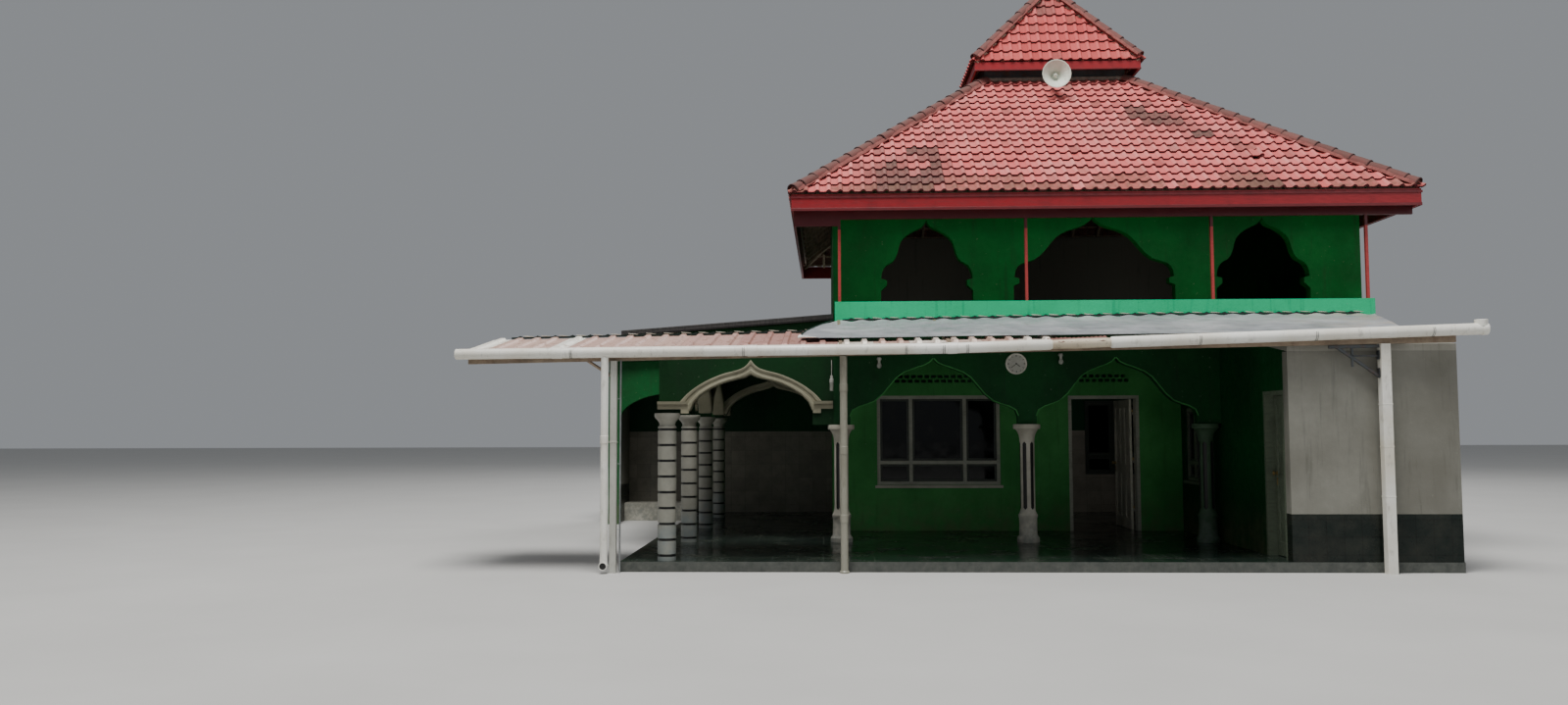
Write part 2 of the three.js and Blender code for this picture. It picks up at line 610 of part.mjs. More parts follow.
// Upper storey: onion arches stand open to the floor in front; at the sides and the back the same arches
// are blind niches over a low sill.
const GALLERY_TOP = slopeAt(LOWER_ROOF, LOWER_ROOF.halfX - HALF_FRONT, EAVE_FRONT) - 2 * SEAM;
const ONION_APEX = 4485;
const onion = (profile, middle, apex) => ({
  profile, middle, half: profile.half, apex, foot: apex - profile.rise,
});
const narrowOnion = (middle) => onion(NARROW_ONION, middle, ONION_APEX);
const wideOnion = (middle) => onion(WIDE_ONION, middle, ONION_APEX + 30);
const FRONT_ONIONS = [narrowOnion(-2270), wideOnion(-10), narrowOnion(2250)];
const SILL = 300;
const NICHE = 60;
const SIDE_ARCH = 1400; // from the middle of the side walls to their arches' middles

function nicheOutline({ profile, middle, half, apex, foot }) {
  const line = archLine(profile, middle, half, apex, foot);
  return outline([[middle - half, UPPER_FLOOR + SILL], ...line, [middle + half, UPPER_FLOOR + SILL]]);
}

function buildGallery() {
  const floors = [UPPER_FLOOR, UPPER_FLOOR, UPPER_FLOOR, UPPER_FLOOR];
  const front = arcade(-HALF_FRONT, HALF_FRONT, GALLERY_TOP, floors, FRONT_ONIONS);
  place(gallery, "upper_front_wall", DARK_GREEN, across(front, WALL_FRONT, WALL));
  const back = outline(rect(-HALF_FRONT, HALF_FRONT, UPPER_FLOOR, GALLERY_TOP));
  const backNiches = FRONT_ONIONS.map((arch) => across(nicheOutline(arch), WALL_BACK - NICHE, 2 * NICHE));
  place(gallery, "upper_back_wall", DARK_GREEN, cut(across(back, WALL_BACK - WALL, WALL), ...backNiches));
  const side = outline(rect(WALL_FRONT + WALL, WALL_BACK - WALL, UPPER_FLOOR, GALLERY_TOP));
  const sideArches = [ROOF_MIDDLE - SIDE_ARCH, ROOF_MIDDLE + SIDE_ARCH].map(narrowOnion);
  [["left", -HALF_FRONT, -HALF_FRONT], ["right", HALF_FRONT - WALL, HALF_FRONT]].forEach(([end, x, face]) => {
    const niches = sideArches.map((arch) => along(nicheOutline(arch), face - NICHE, 2 * NICHE));
    place(gallery, `upper_${end}_wall`, DARK_GREEN, cut(along(side, x, WALL), ...niches));
  });

  const { front: face, thick, bottom, top } = PARAPET;
  const left = -HALF_FRONT + 20;
  const right = HALF_FRONT - 20;
  const faceBoard = block(left, right, face, face + thick, bottom, top);
  const returns = [left, right - thick].map((x) =>
    block(x, x + thick, face + thick / 2, WALL_FRONT, UPPER_FLOOR, top),
  );
  place(gallery, "parapet", TEAL, join(faceBoard, ...returns));
}

// Thin posts on the parapet carry the beam under the eaves, which runs out past the wall at the left.
const POST_PLACES = [-3465, -985, 1455, 3465];
const POST = 36;
const BEAM = { front: 1945, deep: 40, bottom: 4440, top: 4590, outBottom: 4350 };

function buildEaveFrame() {
  const end = LOWER_ROOF.halfX - FASCIA.inset - FASCIA.thick;
  const half = POST / 2;
  const points = [
    [-end + SEAM, BEAM.top], [-end + SEAM, BEAM.outBottom], [POST_PLACES[0] - half, BEAM.outBottom],
  ];
  POST_PLACES.forEach((x, index) => {
    if (index) points.push([x - half, BEAM.bottom]);
    points.push([x - half, PARAPET.top + SEAM], [x + half, PARAPET.top + SEAM], [x + half, BEAM.bottom]);
  });
  points.push([end - SEAM, BEAM.bottom], [end - SEAM, BEAM.top]);
  place(gallery, "eave_frame", POST_RED, across(outline(points), BEAM.front, BEAM.deep));
}

function frustum(x0, y0, z0, x1, y1, z1) {
  const ring = (x, y, z) => [[-x, -y], [x, -y], [x, y], [-x, y]].map(([u, v]) => new THREE.Vector3(u, v, z));
  return new ConvexGeometry([...ring(x0, y0, z0), ...ring(x1, y1, z1)]);
}

// The whole roof over its planes, with a rounded roll of ridge tiles along each hip.
function roofBody({ halfX, halfY, eave, topX, topY, top, thick, roll }) {
  const rim = frustum(halfX, halfY, eave - thick, halfX, halfY, eave);
  const slopes = frustum(halfX, halfY, eave, topX, topY, top);
  const rolls = [[-1, -1], [1, -1], [1, 1], [-1, 1]].map(([u, v]) => {
    const low = [u * (halfX - 35), v * (halfY - 30), eave + 20];
    return bar(low, [u * (topX + 20), v * (topY + 20), top - 10], roll, 6);
  });
  return join(rim, slopes, ...rolls);
}

// The hollow under it, drawn on below the eaves along its own planes.
function roofHollow({ halfX, halfY, eave, topX, topY, top, thick }) {
  const [baseX, baseY] = [halfX - LIP, halfY - LIP];
  const out = 0.002;
  const outX = baseX + (baseX - topX) * out;
  const outY = baseY + (baseY - topY) * out;
  return frustum(outX, outY, eave - thick - (top - eave) * out, topX, topY, top - thick);
}

function ring(halfX, halfY, bottom, top, thick) {
  const outer = rect(-halfX, halfX, -halfY, halfY);
  const inner = rect(thick - halfX, halfX - thick, thick - halfY, halfY - thick, SEAM);
  return upright(outline(outer, [inner]), bottom, top - bottom);
}

function buildRoofs() {
  roofs.position.y = ROOF_MIDDLE;
  const { topX: neckX, topY: neckY } = LOWER_ROOF;
  const [shaftX, shaftY] = [neckX + SEAM, neckY + SEAM];
  const neckHole = frustum(shaftX, shaftY, LOWER_ROOF.eave, shaftX, shaftY, TIER.eave);
  const shell = cut(roofBody(LOWER_ROOF), roofHollow(LOWER_ROOF), neckHole);
  place(roofs, "lower_roof", ROOF_RED, shell);
  place(roofs, "lower_fascia", FASCIA_RED, ring(
    LOWER_ROOF.halfX - FASCIA.inset, LOWER_ROOF.halfY - FASCIA.inset, FASCIA.bottom,
    slopeAt(LOWER_ROOF, FASCIA.inset, FASCIA.inset) - SEAM, FASCIA.thick,
  ));

  const neckTop = slopeAt(TIER, TIER.halfX - neckX, TIER.halfY - neckY) - SEAM;
  place(roofs, "roof_neck", DARK_STEEL, ring(neckX, neckY, LOWER_ROOF.top - 190, neckTop, 30));

  place(roofs, "top_roof", ROOF_RED, cut(roofBody(TIER), roofHollow(TIER)));
  place(roofs, "top_fascia", FASCIA_RED, ring(
    TIER.halfX - TIER_FASCIA.insetX, TIER.halfY - TIER_FASCIA.insetY, TIER_FASCIA.bottom,
    slopeAt(TIER, TIER_FASCIA.insetX, TIER_FASCIA.insetY) - SEAM, FASCIA.thick,
  ));

  // The mortar cap on the peak is cut to the tiles below it with a hair of clearance.
  const profile = [[165, 0], [165, 235], [120, 280], [60, 300]];
  const cap = turned(profile, 14).translate(0, 0, TIER.top - 200);
  const seat = roofBody({ ...TIER, roll: TIER.roll + 1 }).translate(0, 0, 2 * SEAM);
  place(roofs, "roof_cap", DARK_STEEL, cut(cap, seat));
}

// The horn loudspeaker faces the front, on an arm and a hanger from the upper fascia.
const HORN = { x: -120, y: 4050, z: 7025, length: 330, arm: 16 };

function buildLoudspeaker() {
  const bell = [
    [0, 60], [30, 90], [40, 150], [58, 152], [95, 98], [140, 52], [208, 0], [220, 0], [150, 45], [105, 90],
    [70, 150], [62, 190], [62, 220], [80, 230], [75, 330], [0, 330],
  ].map(([radius, y]) => new THREE.Vector2(radius, y));
  const horn = new THREE.LatheGeometry(bell, 20);
  const hangerY = ROOF_MIDDLE - TIER.halfY + TIER_FASCIA.insetY + FASCIA.thick / 2 - HORN.y;
  const lift = 25;
  const arm = bar([0, HORN.length - 20, lift], [0, hangerY + HORN.arm, lift], HORN.arm, 8);
  const hanger = bar([0, hangerY, lift], [0, hangerY, TIER_FASCIA.bottom - HORN.z - SEAM], HORN.arm * 0.7, 8);
  const body = place(roofs, "loudspeaker_horn", PALE, join(horn, arm, hanger));
  body.position.set(HORN.x, HORN.y - ROOF_MIDDLE, HORN.z);
}

// The canopy: sheets on a steel frame, all rising gently to the right.
const SHEET = 30;
const canopyTop = (x, y) => CANOPY.start + (x - CANOPY.left) * CANOPY.rise + (y + 60) * CANOPY.slope;
const SILVER = {
  left: -3960,
  leftBack: -3560,
  right: 2890,
  rightBack: 3520,
  front: -60,
  back: PARAPET.front - 2 * SEAM,
  high: 3140,
  onSheet: SHEET + 6, // height of the top over the other sheet's plane, at the left end
  onBeam: 12, // and at the right end
};
const silverFront = (x) => {
  const share = (x - SILVER.left) / (SILVER.right - SILVER.left);
  return canopyTop(x, SILVER.front) + (1 - share) * SILVER.onSheet + share * SILVER.onBeam;
};
const FRONT_BEAM = { front: -80, back: -30, deep: 130, left: -7830, right: 3500 };
const RAFTER = { wide: 40, deep: 60 };
const LOW_RAFTERS = [-7810, -6110, -4780];
const HIGH_RAFTERS = [-3480, -2220, -960, 300, 1560, 2700];

function hull(points) {
  return new ConvexGeometry(points.map((point) => new THREE.Vector3(...point)));
}

// A sheet between four corners, hanging down from them by its thickness.
const sheet = (corners) => hull(corners.flatMap(([x, y, z]) => [[x, y, z], [x, y, z - SHEET]]));

// A beam between two planes of x, whose top follows a height given for each of its ends.
function beam([x0, z0], [x1, z1], y0, y1, deep) {
  return hull([[x0, z0], [x1, z1]].flatMap(([x, z]) => [
    [x, y0, z], [x, y1, z], [x, y0, z - deep], [x, y1, z - deep],
  ]));
}

// A rafter at x between two points of its sloping top.
function rafter(x, [y0, z0], [y1, z1]) {
  const half = RAFTER.wide / 2;
  return hull([[y0, z0], [y1, z1]].flatMap(([y, z]) => [
    [x - half, y, z], [x + half, y, z], [x - half, y, z - RAFTER.deep], [x + half, y, z - RAFTER.deep],
  ]));
}

function buildCanopySheets() {
  const low = (x, y) => [x, y, canopyTop(x, y)];
  const front = FRONT_BEAM.front + 2;
  const { left, lowRight, back } = CANOPY;
  const rusty = sheet([low(left, front), low(lowRight, front), low(lowRight, back), low(left, back)]);
  place(canopy, "canopy_sheet_left", RUSTY_SHEET, rusty);
  const silver = sheet([
    [SILVER.left, SILVER.front, silverFront(SILVER.left)],
    [SILVER.right, SILVER.front, silverFront(SILVER.right)],
    [SILVER.rightBack, SILVER.back, SILVER.high],
    [SILVER.leftBack, SILVER.back, SILVER.high],
  ]);
  place(canopy, "canopy_sheet_right", ZINC, silver);
}

const underSheet = (x, y) => canopyTop(x, y) - SHEET - 2 * SEAM;
const beamTop = (x) => underSheet(x, FRONT_BEAM.front);

function buildCanopyFrame() {
  const { front, back, deep, left, right } = FRONT_BEAM;
  const main = beam([left, beamTop(left)], [right, beamTop(right)], front, back, deep);
  const rearFront = CANOPY.back - 60;
  const rearTop = (x) => underSheet(x, rearFront);
  const rearRight = HIGH_RAFTERS[0];
  const rear = beam([left, rearTop(left)], [rearRight, rearTop(rearRight)], rearFront, CANOPY.back - 10, 60);
  const low = LOW_RAFTERS.map((x) => {
    const side = x - RAFTER.wide / 2;
    const [near, far] = [front + 10, CANOPY.back - 20];
    return rafter(x, [near, underSheet(side, near)], [far, underSheet(side, far)]);
  });
  const drop = SHEET + 25;
  const high = HIGH_RAFTERS.map((x) =>
    rafter(x, [back - 10, silverFront(x) - drop], [SILVER.back, SILVER.high - drop]),
  );
  const propFoot = rearTop(rearRight) - 30;
  const prop = block(
    rearRight - 20, rearRight + 20, rearFront + 5, CANOPY.back - 15, propFoot, SILVER.high - 190,
  );
  const strutX = -5850;
  const strutZ = rearTop(strutX) - 30;
  const strut = block(strutX - 20, strutX + 20, CANOPY.back - 30, WALL_FRONT, strutZ - 20, strutZ + 20);
  const { x: postX, wide } = CANOPY_POSTS[0];
  const braceTop = [postX - 330, -55, beamTop(postX) - deep + 15];
  const brace = bar([postX - 35, -55, braceTop[2] - 190], braceTop, 18);
  const frame = join(main, rear, ...low, ...high, prop, strut, brace);
  const half = wide / 2 + 2 * SEAM;
  const postRoom = block(postX - half, postX + half, -200, 200, 0, beamTop(postX - half) - deep);
  place(canopy, "canopy_frame", DARK_STEEL, cut(frame, postRoom));
}

const CANOPY_POSTS = [
  { name: "canopy_post_left", x: -6115, wide: 80 },
  { name: "canopy_post_middle", x: -3450, wide: 80 },
  { name: "canopy_post_right", x: 2690, wide: 112 },
];
const POST_LINE = -78;

function buildCanopyPosts() {
  CANOPY_POSTS.forEach(({ name, x, wide }, index) => {
    const half = wide / 2;
    const top = beamTop(x - half) - FRONT_BEAM.deep;
    const shaft = block(x - half, x + half, POST_LINE - half, POST_LINE + half, 0, top);
    const pieces = index === 2 ? bracketBars(x - half, top) : [];
    place(canopy, name, PVC, pieces.length ? join(shaft, ...pieces) : shaft);
  });
}

// The triangular steel bracket at the right post's left side.
function bracketBars(face, top) {
  const y = POST_LINE;
  const level = top - 25;
  return [
    bar([face + 10, y, level], [face - 560, y, level - 8], 22),
    bar([face - 470, y, level - 10], [face + 10, y, level - 350], 20),
    bar([face - 300, y, level - 10], [face - 300, y, level - 130], 16),
    bar([face + 10, y, level - 110], [face - 330, y, level - 110], 16),
  ];
}

const GUTTER_SIDES = 14;

function buildGutter() {
  const y = FRONT_BEAM.front - GUTTER.radius - 2 * SEAM;
  const { left, bend, right, low, middle, high } = GUTTER;
  const at = (x) => {
    const [from, to, start, end] = x < bend ? [left, bend, low, middle] : [bend, right, middle, high];
    return [x, y, start + ((x - from) * (end - start)) / (to - from)];
  };
  const lap = 5;
  const pipes = [[left, bend + lap], [bend - lap, right]].map(([x0, x1]) =>
    bar(at(x0), at(x1), GUTTER.radius, GUTTER_SIDES),
  );
  const collar = bar(at(right - 20), at(right + 60), GUTTER.radius + 8, GUTTER_SIDES);
  const [x, , z] = at(right + 30);
  const mouth = bar([x, y, z - 40], [x, y, z + 110], GUTTER.radius + 8, GUTTER_SIDES);
  place(canopy, "gutter_pipe", PVC, join(...pipes, collar, mouth));
  const { x: drainX, radius: bore, foot } = DOWNPIPE;
  const seat = at(drainX - bore)[2] - GUTTER.radius * Math.cos(Math.PI / GUTTER_SIDES) - 2 * SEAM;
  const drain = turned([[bore, 0], [bore, seat - foot]], GUTTER_SIDES);
  place(canopy, "downpipe", PVC, drain, [DOWNPIPE.x, y, DOWNPIPE.foot]);
}

function buildClock() {
  const body = new THREE.CylinderGeometry(143, 143, 36, 28);
  place(ground, "wall_clock", PALE, body, [-1082, WALL_FRONT - 18, 2514]);
}

buildFloors();
buildColumns();
buildArcade();
buildPorch();
buildWing();
buildGroundWalls();
buildSideRoom();
buildWindows();
buildDoors();
buildGallery();
buildEaveFrame();
buildRoofs();
buildLoudspeaker();
buildCanopySheets();
buildCanopyFrame();
buildCanopyPosts();
buildGutter();
buildClock();

// The whole building stands with the middle of its plan on the origin.
const building = new THREE.Group();
building.add(mosque);
const extent = new THREE.Box3().setFromObject(mosque);
const middle = extent.getCenter(new THREE.Vector3());
mosque.position.set(-middle.x, -middle.y, -extent.min.z);

export default building;
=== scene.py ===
"""Looks of the mosque building: tiles, sheets, mouldings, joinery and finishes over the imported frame.

Measures are metres in the building's own frame: x runs along the front from the middle of the roof,
y goes back from the plinth's front edge, z goes up from the ground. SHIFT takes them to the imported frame.
"""
import math
import random
from collections import namedtuple

import bpy
import bmesh
import numpy as np
from mathutils import Matrix, Vector, noise


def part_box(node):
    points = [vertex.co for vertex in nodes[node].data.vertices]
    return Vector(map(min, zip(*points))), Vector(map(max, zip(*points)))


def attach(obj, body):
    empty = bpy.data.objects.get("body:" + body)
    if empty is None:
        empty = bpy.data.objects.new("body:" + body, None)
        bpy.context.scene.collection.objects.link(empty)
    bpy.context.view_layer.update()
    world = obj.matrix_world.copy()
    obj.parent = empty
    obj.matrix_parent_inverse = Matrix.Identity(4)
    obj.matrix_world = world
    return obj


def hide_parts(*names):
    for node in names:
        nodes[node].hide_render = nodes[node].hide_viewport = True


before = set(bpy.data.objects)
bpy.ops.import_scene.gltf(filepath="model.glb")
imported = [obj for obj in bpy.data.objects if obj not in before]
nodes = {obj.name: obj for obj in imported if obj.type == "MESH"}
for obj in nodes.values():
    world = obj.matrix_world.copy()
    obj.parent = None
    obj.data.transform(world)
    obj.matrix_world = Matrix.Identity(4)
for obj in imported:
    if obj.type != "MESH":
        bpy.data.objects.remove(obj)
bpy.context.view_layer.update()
chance = random.Random(7)

PLINTH_LEFT, SEAM = -6.05, 0.00015
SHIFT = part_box("plinth")[0] - Vector((PLINTH_LEFT + SEAM, SEAM, SEAM))
WALL_FRONT, WALL, WINDOW_FRONT, WALL_BACK, SIDE_FACE = 2.33, 0.15, 4.12, 8.25, 1.64
FLOOR, COLUMN_LINE = 0.12, WALL_FRONT + WALL / 2
ROOF_MIDDLE = (WALL_FRONT + WALL_BACK) / 2
ALONG_X, ALONG_Y, ALONG_Z = (1, 0, 0), (0, 1, 0), (0, 0, 1)
TO_FRONT = Matrix.Rotation(math.pi / 2, 3, "X")  # turns a lathe's axis to the front


def new_object(name, data):
    made = bpy.data.objects.new(name, data)
    bpy.context.scene.collection.objects.link(made)
    return made


# Camera

EYE = Vector((-3.65, -13.66, 1.65))
SENSOR, LENS, CLIP_END = 36.0, 27.0, 300.0
PITCH, YAW, ROLL_OVER = (math.radians(angle) for angle in (3.7, 2.05, 0.17))


def make_camera():
    data = bpy.data.cameras.new("camera")
    data.sensor_width, data.lens, data.clip_end = SENSOR, LENS, CLIP_END
    ahead = Vector((-math.sin(YAW), math.cos(YAW), 0)) * math.cos(PITCH) + Vector((0, 0, math.sin(PITCH)))
    side = Vector((math.cos(YAW), math.sin(YAW), 0))
    top = side.cross(ahead)
    right = side * math.cos(ROLL_OVER) - top * math.sin(ROLL_OVER)
    up = top * math.cos(ROLL_OVER) + side * math.sin(ROLL_OVER)
    matrix = Matrix((right, up, -ahead)).transposed().to_4x4()
    matrix.translation = EYE + SHIFT
    camera = new_object("camera", data)
    camera.matrix_world = matrix
    bpy.context.scene.camera = camera


make_camera()


# Materials: colours are sRGB, 0 to 255

def linear(colour, share=1.0):
    """An sRGB colour as the shader's linear one, made darker by a share."""
    parts = [(c / 255 / 12.92) if c <= 10 else ((c / 255 + 0.055) / 1.055) ** 2.4 for c in colour]
    return (*(share * part for part in parts), 1.0)


class Look:
    """A material under construction: its shader, its colour so far, and its bump so far."""

    def __init__(self, name, roughness, tint=None, **fixed):
        self.material = bpy.data.materials.new(name)
        self.material.use_nodes = True
        self.tree = self.material.node_tree
        self.shader = self.tree.nodes["Principled BSDF"].inputs
        self.shader["Roughness"].default_value = roughness
        for key, value in fixed.items():
            self.shader[key.replace("_", " ")].default_value = value
        self.place = self.node("TexCoord").outputs["Object"]
        self.tint, self.normal = tint, None

    def give(self, socket, value):
        if isinstance(value, bpy.types.NodeSocket):
            self.tree.links.new(value, socket)
        else:
            is_colour = socket.type == "RGBA" and len(value) == 3
            socket.default_value = linear(value) if is_colour else value

    def node(self, kind, values=None, **settings):
        """A new node: settings are its own properties, values go to its sockets by name or number."""
        made = self.tree.nodes.new("ShaderNode" + kind)
        for key, value in settings.items():
            setattr(made, key, value)
        for key, value in (values or {}).items():
            self.give(made.inputs[key], value)
        return made

    def math(self, operation, first, second):
        return self.node("Math", {0: first, 1: second}, operation=operation).outputs[0]

    def times(self, first, second):
        return self.math("MULTIPLY", first, second)

    def plus(self, first, second):
        return self.math("ADD", first, second)

    def noise(self, scale, detail, rough=0.6, stretch=None):
        place = self.place
        if stretch:
            place = self.node("Mapping", {"Vector": place, "Scale": stretch}).outputs["Vector"]
        values = {"Vector": place, "Scale": scale, "Detail": detail, "Roughness": rough}
        return self.node("TexNoise", values).outputs[0]

    def range(self, value, low, high, to_low=0.0, to_high=1.0):
        values = {"Value": value, "From Min": low, "From Max": high, "To Min": to_low, "To Max": to_high}
        return self.node("MapRange", values).outputs["Result"]

    def spots(self, scale, detail, low, high, most=1.0, rough=0.6, stretch=None, least=0.0):
        """A share that follows a noise: least where it is under low, most where it is over high."""
        return self.range(self.noise(scale, detail, rough, stretch), low, high, least, most)

    def mix(self, share, first, second):
        return self.node("Mix", {0: share, 6: first, 7: second}, data_type="RGBA").outputs[2]

    def coat(self, share, colour):
        self.tint = self.mix(share, self.tint, colour)

    def ramp(self, value, stops):
        made = self.node("ValToRGB", {"Fac": value})
        elements = made.color_ramp.elements
        while len(elements) < len(stops):
            elements.new(0.5)
        for element, (position, colour) in zip(elements, stops.items()):
            element.position, element.color = position, linear(colour)
        return made.outputs["Color"]

    def mark(self, name):
        return self.node("Attribute", attribute_name=name).outputs["Fac"]

    def axis(self, letter):
        return self.node("SeparateXYZ", {0: self.place}).outputs[letter]

    def facing_up(self):
        return self.node("SeparateXYZ", {0: self.node("NewGeometry").outputs["Normal"]}).outputs["Z"]

    def turned_to_wall(self):
        """Coordinates that run along a wall, whichever way it faces, and up it."""
        parts = self.node("SeparateXYZ", {0: self.place}).outputs
        return self.node("CombineXYZ", {"X": self.plus(parts["X"], parts["Y"]), "Y": parts["Z"]}).outputs[0]

    def square_tiles(self, place, first, second, joint, size, gap):
        values = {"Vector": place, "Color1": first, "Color2": second, "Mortar": joint, "Scale": 1.0}
        values.update({"Mortar Size": gap, "Bias": 0.0, "Brick Width": size, "Row Height": size})
        return self.node("TexBrick", values, offset=0.0, squash=1.0).outputs

    def bump(self, height, distance, strength):
        values = {"Strength": strength, "Distance": distance, "Height": height}
        if self.normal:
            values["Normal"] = self.normal
        self.normal = self.node("Bump", values).outputs["Normal"]

    def done(self, shine=None):
        for key, value in (("Base Color", self.tint), ("Roughness", shine), ("Normal", self.normal)):
            if value is not None:
                self.give(self.shader[key], value)
        return self.material


def painted_wall(name, colour, deep, dust=0.5, dado=None, roughness=0.62, inside=None):
    """Painted render: rolled paint, soft stains, rain streaks, a dusty foot, and a tiled dado if asked."""
    look = Look(name, roughness, colour, Specular_IOR_Level=0.22)
    rolled = look.noise(14, 5, 0.7)
    look.coat(look.spots(0.9, 5, 0.35, 0.65), deep)
    look.coat(look.range(rolled, 0.3, 0.75, 0.0, 0.28), deep)
    if inside:
        depth, bare = inside
        look.coat(look.math("LESS_THAN", look.axis("Y"), depth + SHIFT.y), bare)
    look.coat(look.spots(3.2, 6, 0.56, 0.74, 0.38, 0.7, (3.0, 3.0, 0.22)), (30, 34, 26))
    foot = look.times(look.range(look.axis("Z"), 0.75, 0.1), look.spots(5, 6, 0.3, 0.62))
    look.coat(look.times(foot, dust), (112, 104, 84))
    look.coat(look.times(look.spots(21, 3, 0.70, 0.73, rough=0.5), 0.2), (150, 156, 138))
    look.bump(look.plus(look.times(look.noise(55, 3), 0.5), look.noise(6, 3)), 0.006, 0.45)
    shine = look.range(rolled, 0.3, 0.7, roughness - 0.1, roughness + 0.1)
    if dado:
        height, tile, joint, size = dado
        tiles = look.square_tiles(look.turned_to_wall(), tile, linear(tile, 0.8), joint, size, 0.004)
        below = look.math("LESS_THAN", look.axis("Z"), height)
        look.coat(below, look.mix(look.spots(4, 5, 0.4, 0.75, 0.4), tiles["Color"], (70, 68, 60)))
        shine = look.plus(look.times(below, -0.3), shine)
    return look.done(shine)


def tiled_floor():
    """Dark glazed floor tiles with thin joints on top, bare concrete on the edges."""
    look = Look("floor_tiles", 0.2)
    tiles = look.square_tiles(look.place, (24, 38, 34), (32, 46, 40), (88, 96, 88), 0.3, 0.0035)
    scuffed = look.spots(2.2, 6, 0.45, 0.75)
    glazed = look.mix(look.times(scuffed, 0.35), tiles["Color"], (96, 96, 84))
    concrete = look.ramp(look.noise(9, 6, 0.7), {0.3: (62, 66, 63), 0.7: (96, 98, 92)})
    flat = look.math("GREATER_THAN", look.facing_up(), 0.6)
    look.bump(look.plus(look.times(tiles["Fac"], -0.6), look.noise(40, 3)), 0.002, 0.3)
    look.tint = look.mix(flat, concrete, glazed)
    return look.done(look.math("SUBTRACT", 0.85, look.times(flat, look.range(scuffed, 0, 1, 0.7, 0.45))))


def roof_tiles():
    """Pressed clay tiles, each with its own tone, sooty where the wear mark says so; the band mark paints
    shade along each nose and cut end, and the tone mark carries a painted highlight on each roll's top.
    """
    look = Look("roof_tiles", 0.82, Specular_IOR_Level=0.35)
    tones = {0.0: (172, 66, 64), 0.35: (196, 88, 86), 0.65: (206, 106, 103), 1.0: (218, 136, 130)}
    look.tint = look.ramp(look.mark("tone"), tones)
    mottle = look.noise(24, 6, 0.72)
    look.coat(look.range(mottle, 0.5, 0.75, 0.0, 0.3), (158, 82, 78))
    look.coat(look.spots(1.3, 6, 0.5, 0.72, 0.3, 0.65), (212, 158, 150))
    soot = look.times(look.mark("wear"), look.spots(17, 5, 0.25, 0.6, 1.0, 0.7, least=0.72))
    look.coat(soot, look.mix(look.range(mottle, 0.35, 0.65), (100, 78, 70), (66, 56, 50)))
    look.coat(look.times(look.mark("moss"), look.spots(11, 6, 0.32, 0.6, least=0.35)), (112, 80, 66))
    # painted shade: the dark line under each tile's nose, and darker cut ends
    look.coat(look.mark("band"), (84, 24, 30))
    look.bump(look.plus(mottle, look.noise(90, 2)), 0.003, 0.5)
    return look.done(look.range(mottle, 0.3, 0.7, 0.72, 0.92))


def ridge_caps():
    """Ridge tiles once painted like the roof, weathered grey-brown on top."""
    look = Look("ridge_caps", 0.85)
    look.tint = look.ramp(look.mark("tone"), {0.0: (94, 52, 48), 0.5: (112, 62, 58), 1.0: (130, 76, 70)})
    look.coat(look.spots(9, 6, 0.38, 0.66, 0.6, 0.7), (92, 72, 64))
    look.coat(look.range(look.facing_up(), 0.55, 0.95, 0.0, 0.5), (88, 68, 62))
    look.coat(look.mark("band"), (70, 40, 38))
    look.bump(look.noise(45, 4), 0.006, 0.6)
    return look.done()


def mottled(name, roughness, grain, dark, light, bump=None, spread=0.2):
    """Matter in two tones, from the noise between them and the noise, depth and strength of its bump."""
    look = Look(name, roughness)
    look.tint = look.ramp(look.noise(*grain), {0.5 - spread: dark, 0.5 + spread: light})
    if bump:
        look.bump(look.noise(*bump[:2]), *bump[2:])
    return look.done()


def gloss_paint(name, colour, worn, rust=0.25, beam=None):
    """Brushed gloss paint on wood or steel: streaks along the piece, dull patches and small chips; if asked,
    darker above a height as painted shade.
    """
    look = Look(name, 0.45, colour)
    brushed = look.noise(7, 6, 0.7, (1.0, 6.0, 6.0))
    look.coat(look.range(brushed, 0.38, 0.66, 0.0, 0.55), worn)
    # painted shade: above the given height the paint darkens for the shade under the eaves
    if beam:
        above, beam_shade_colour = beam
        look.coat(look.math("GREATER_THAN", look.axis("Z"), above), beam_shade_colour)
    look.coat(look.spots(3.1, 7, 0.5, 0.75, 0.5, 0.7), linear(worn, 0.45))
    look.coat(look.times(look.spots(34, 3, 0.67, 0.7), rust), (92, 58, 40))
    look.bump(brushed, 0.002, 0.4)
    return look.done(look.range(brushed, 0.3, 0.7, 0.35, 0.6))


def plastic(name, colour, stained, dirt=0.5):
    """Weathered pipe: yellowed, with dust in bands and drips from the joints."""
    look = Look(name, 0.42, colour)
    age = look.spots(1.1, 6, 0.4, 0.72, 0.75)
    look.coat(age, stained)
    look.coat(look.spots(16, 6, 0.55, 0.78, dirt, 0.7, (1.0, 1.0, 0.35)), (96, 88, 72))
    look.bump(look.noise(30, 3), 0.001, 0.25)
    return look.done(look.range(age, 0.0, 1.0, 0.35, 0.6))


def plaster(name, colour, stain):
    """Moulding and column render, hairline cracked and grey in its lower parts."""
    look = Look(name, 0.7, colour)
    look.coat(look.spots(3, 6, 0.35, 0.7, 0.6), stain)
    cells = look.node("TexVoronoi", {"Vector": look.place, "Scale": 9}).outputs["Distance"]
    look.coat(look.times(look.range(cells, 0.0, 0.035, 0.5, 0.0), 0.6), (92, 88, 76))
    low = look.times(look.range(look.axis("Z"), 0.62, 0.2), look.spots(12, 5, 0.3, 0.6))
    look.coat(look.times(low, 0.6), (112, 120, 116))
    look.coat(look.mark("band"), (12, 12, 10))
    look.bump(look.plus(look.noise(60, 3), look.noise(9, 4)), 0.003, 0.4)
    return look.done(look.spots(8, 4, 0.3, 0.7, 0.8, least=0.55))


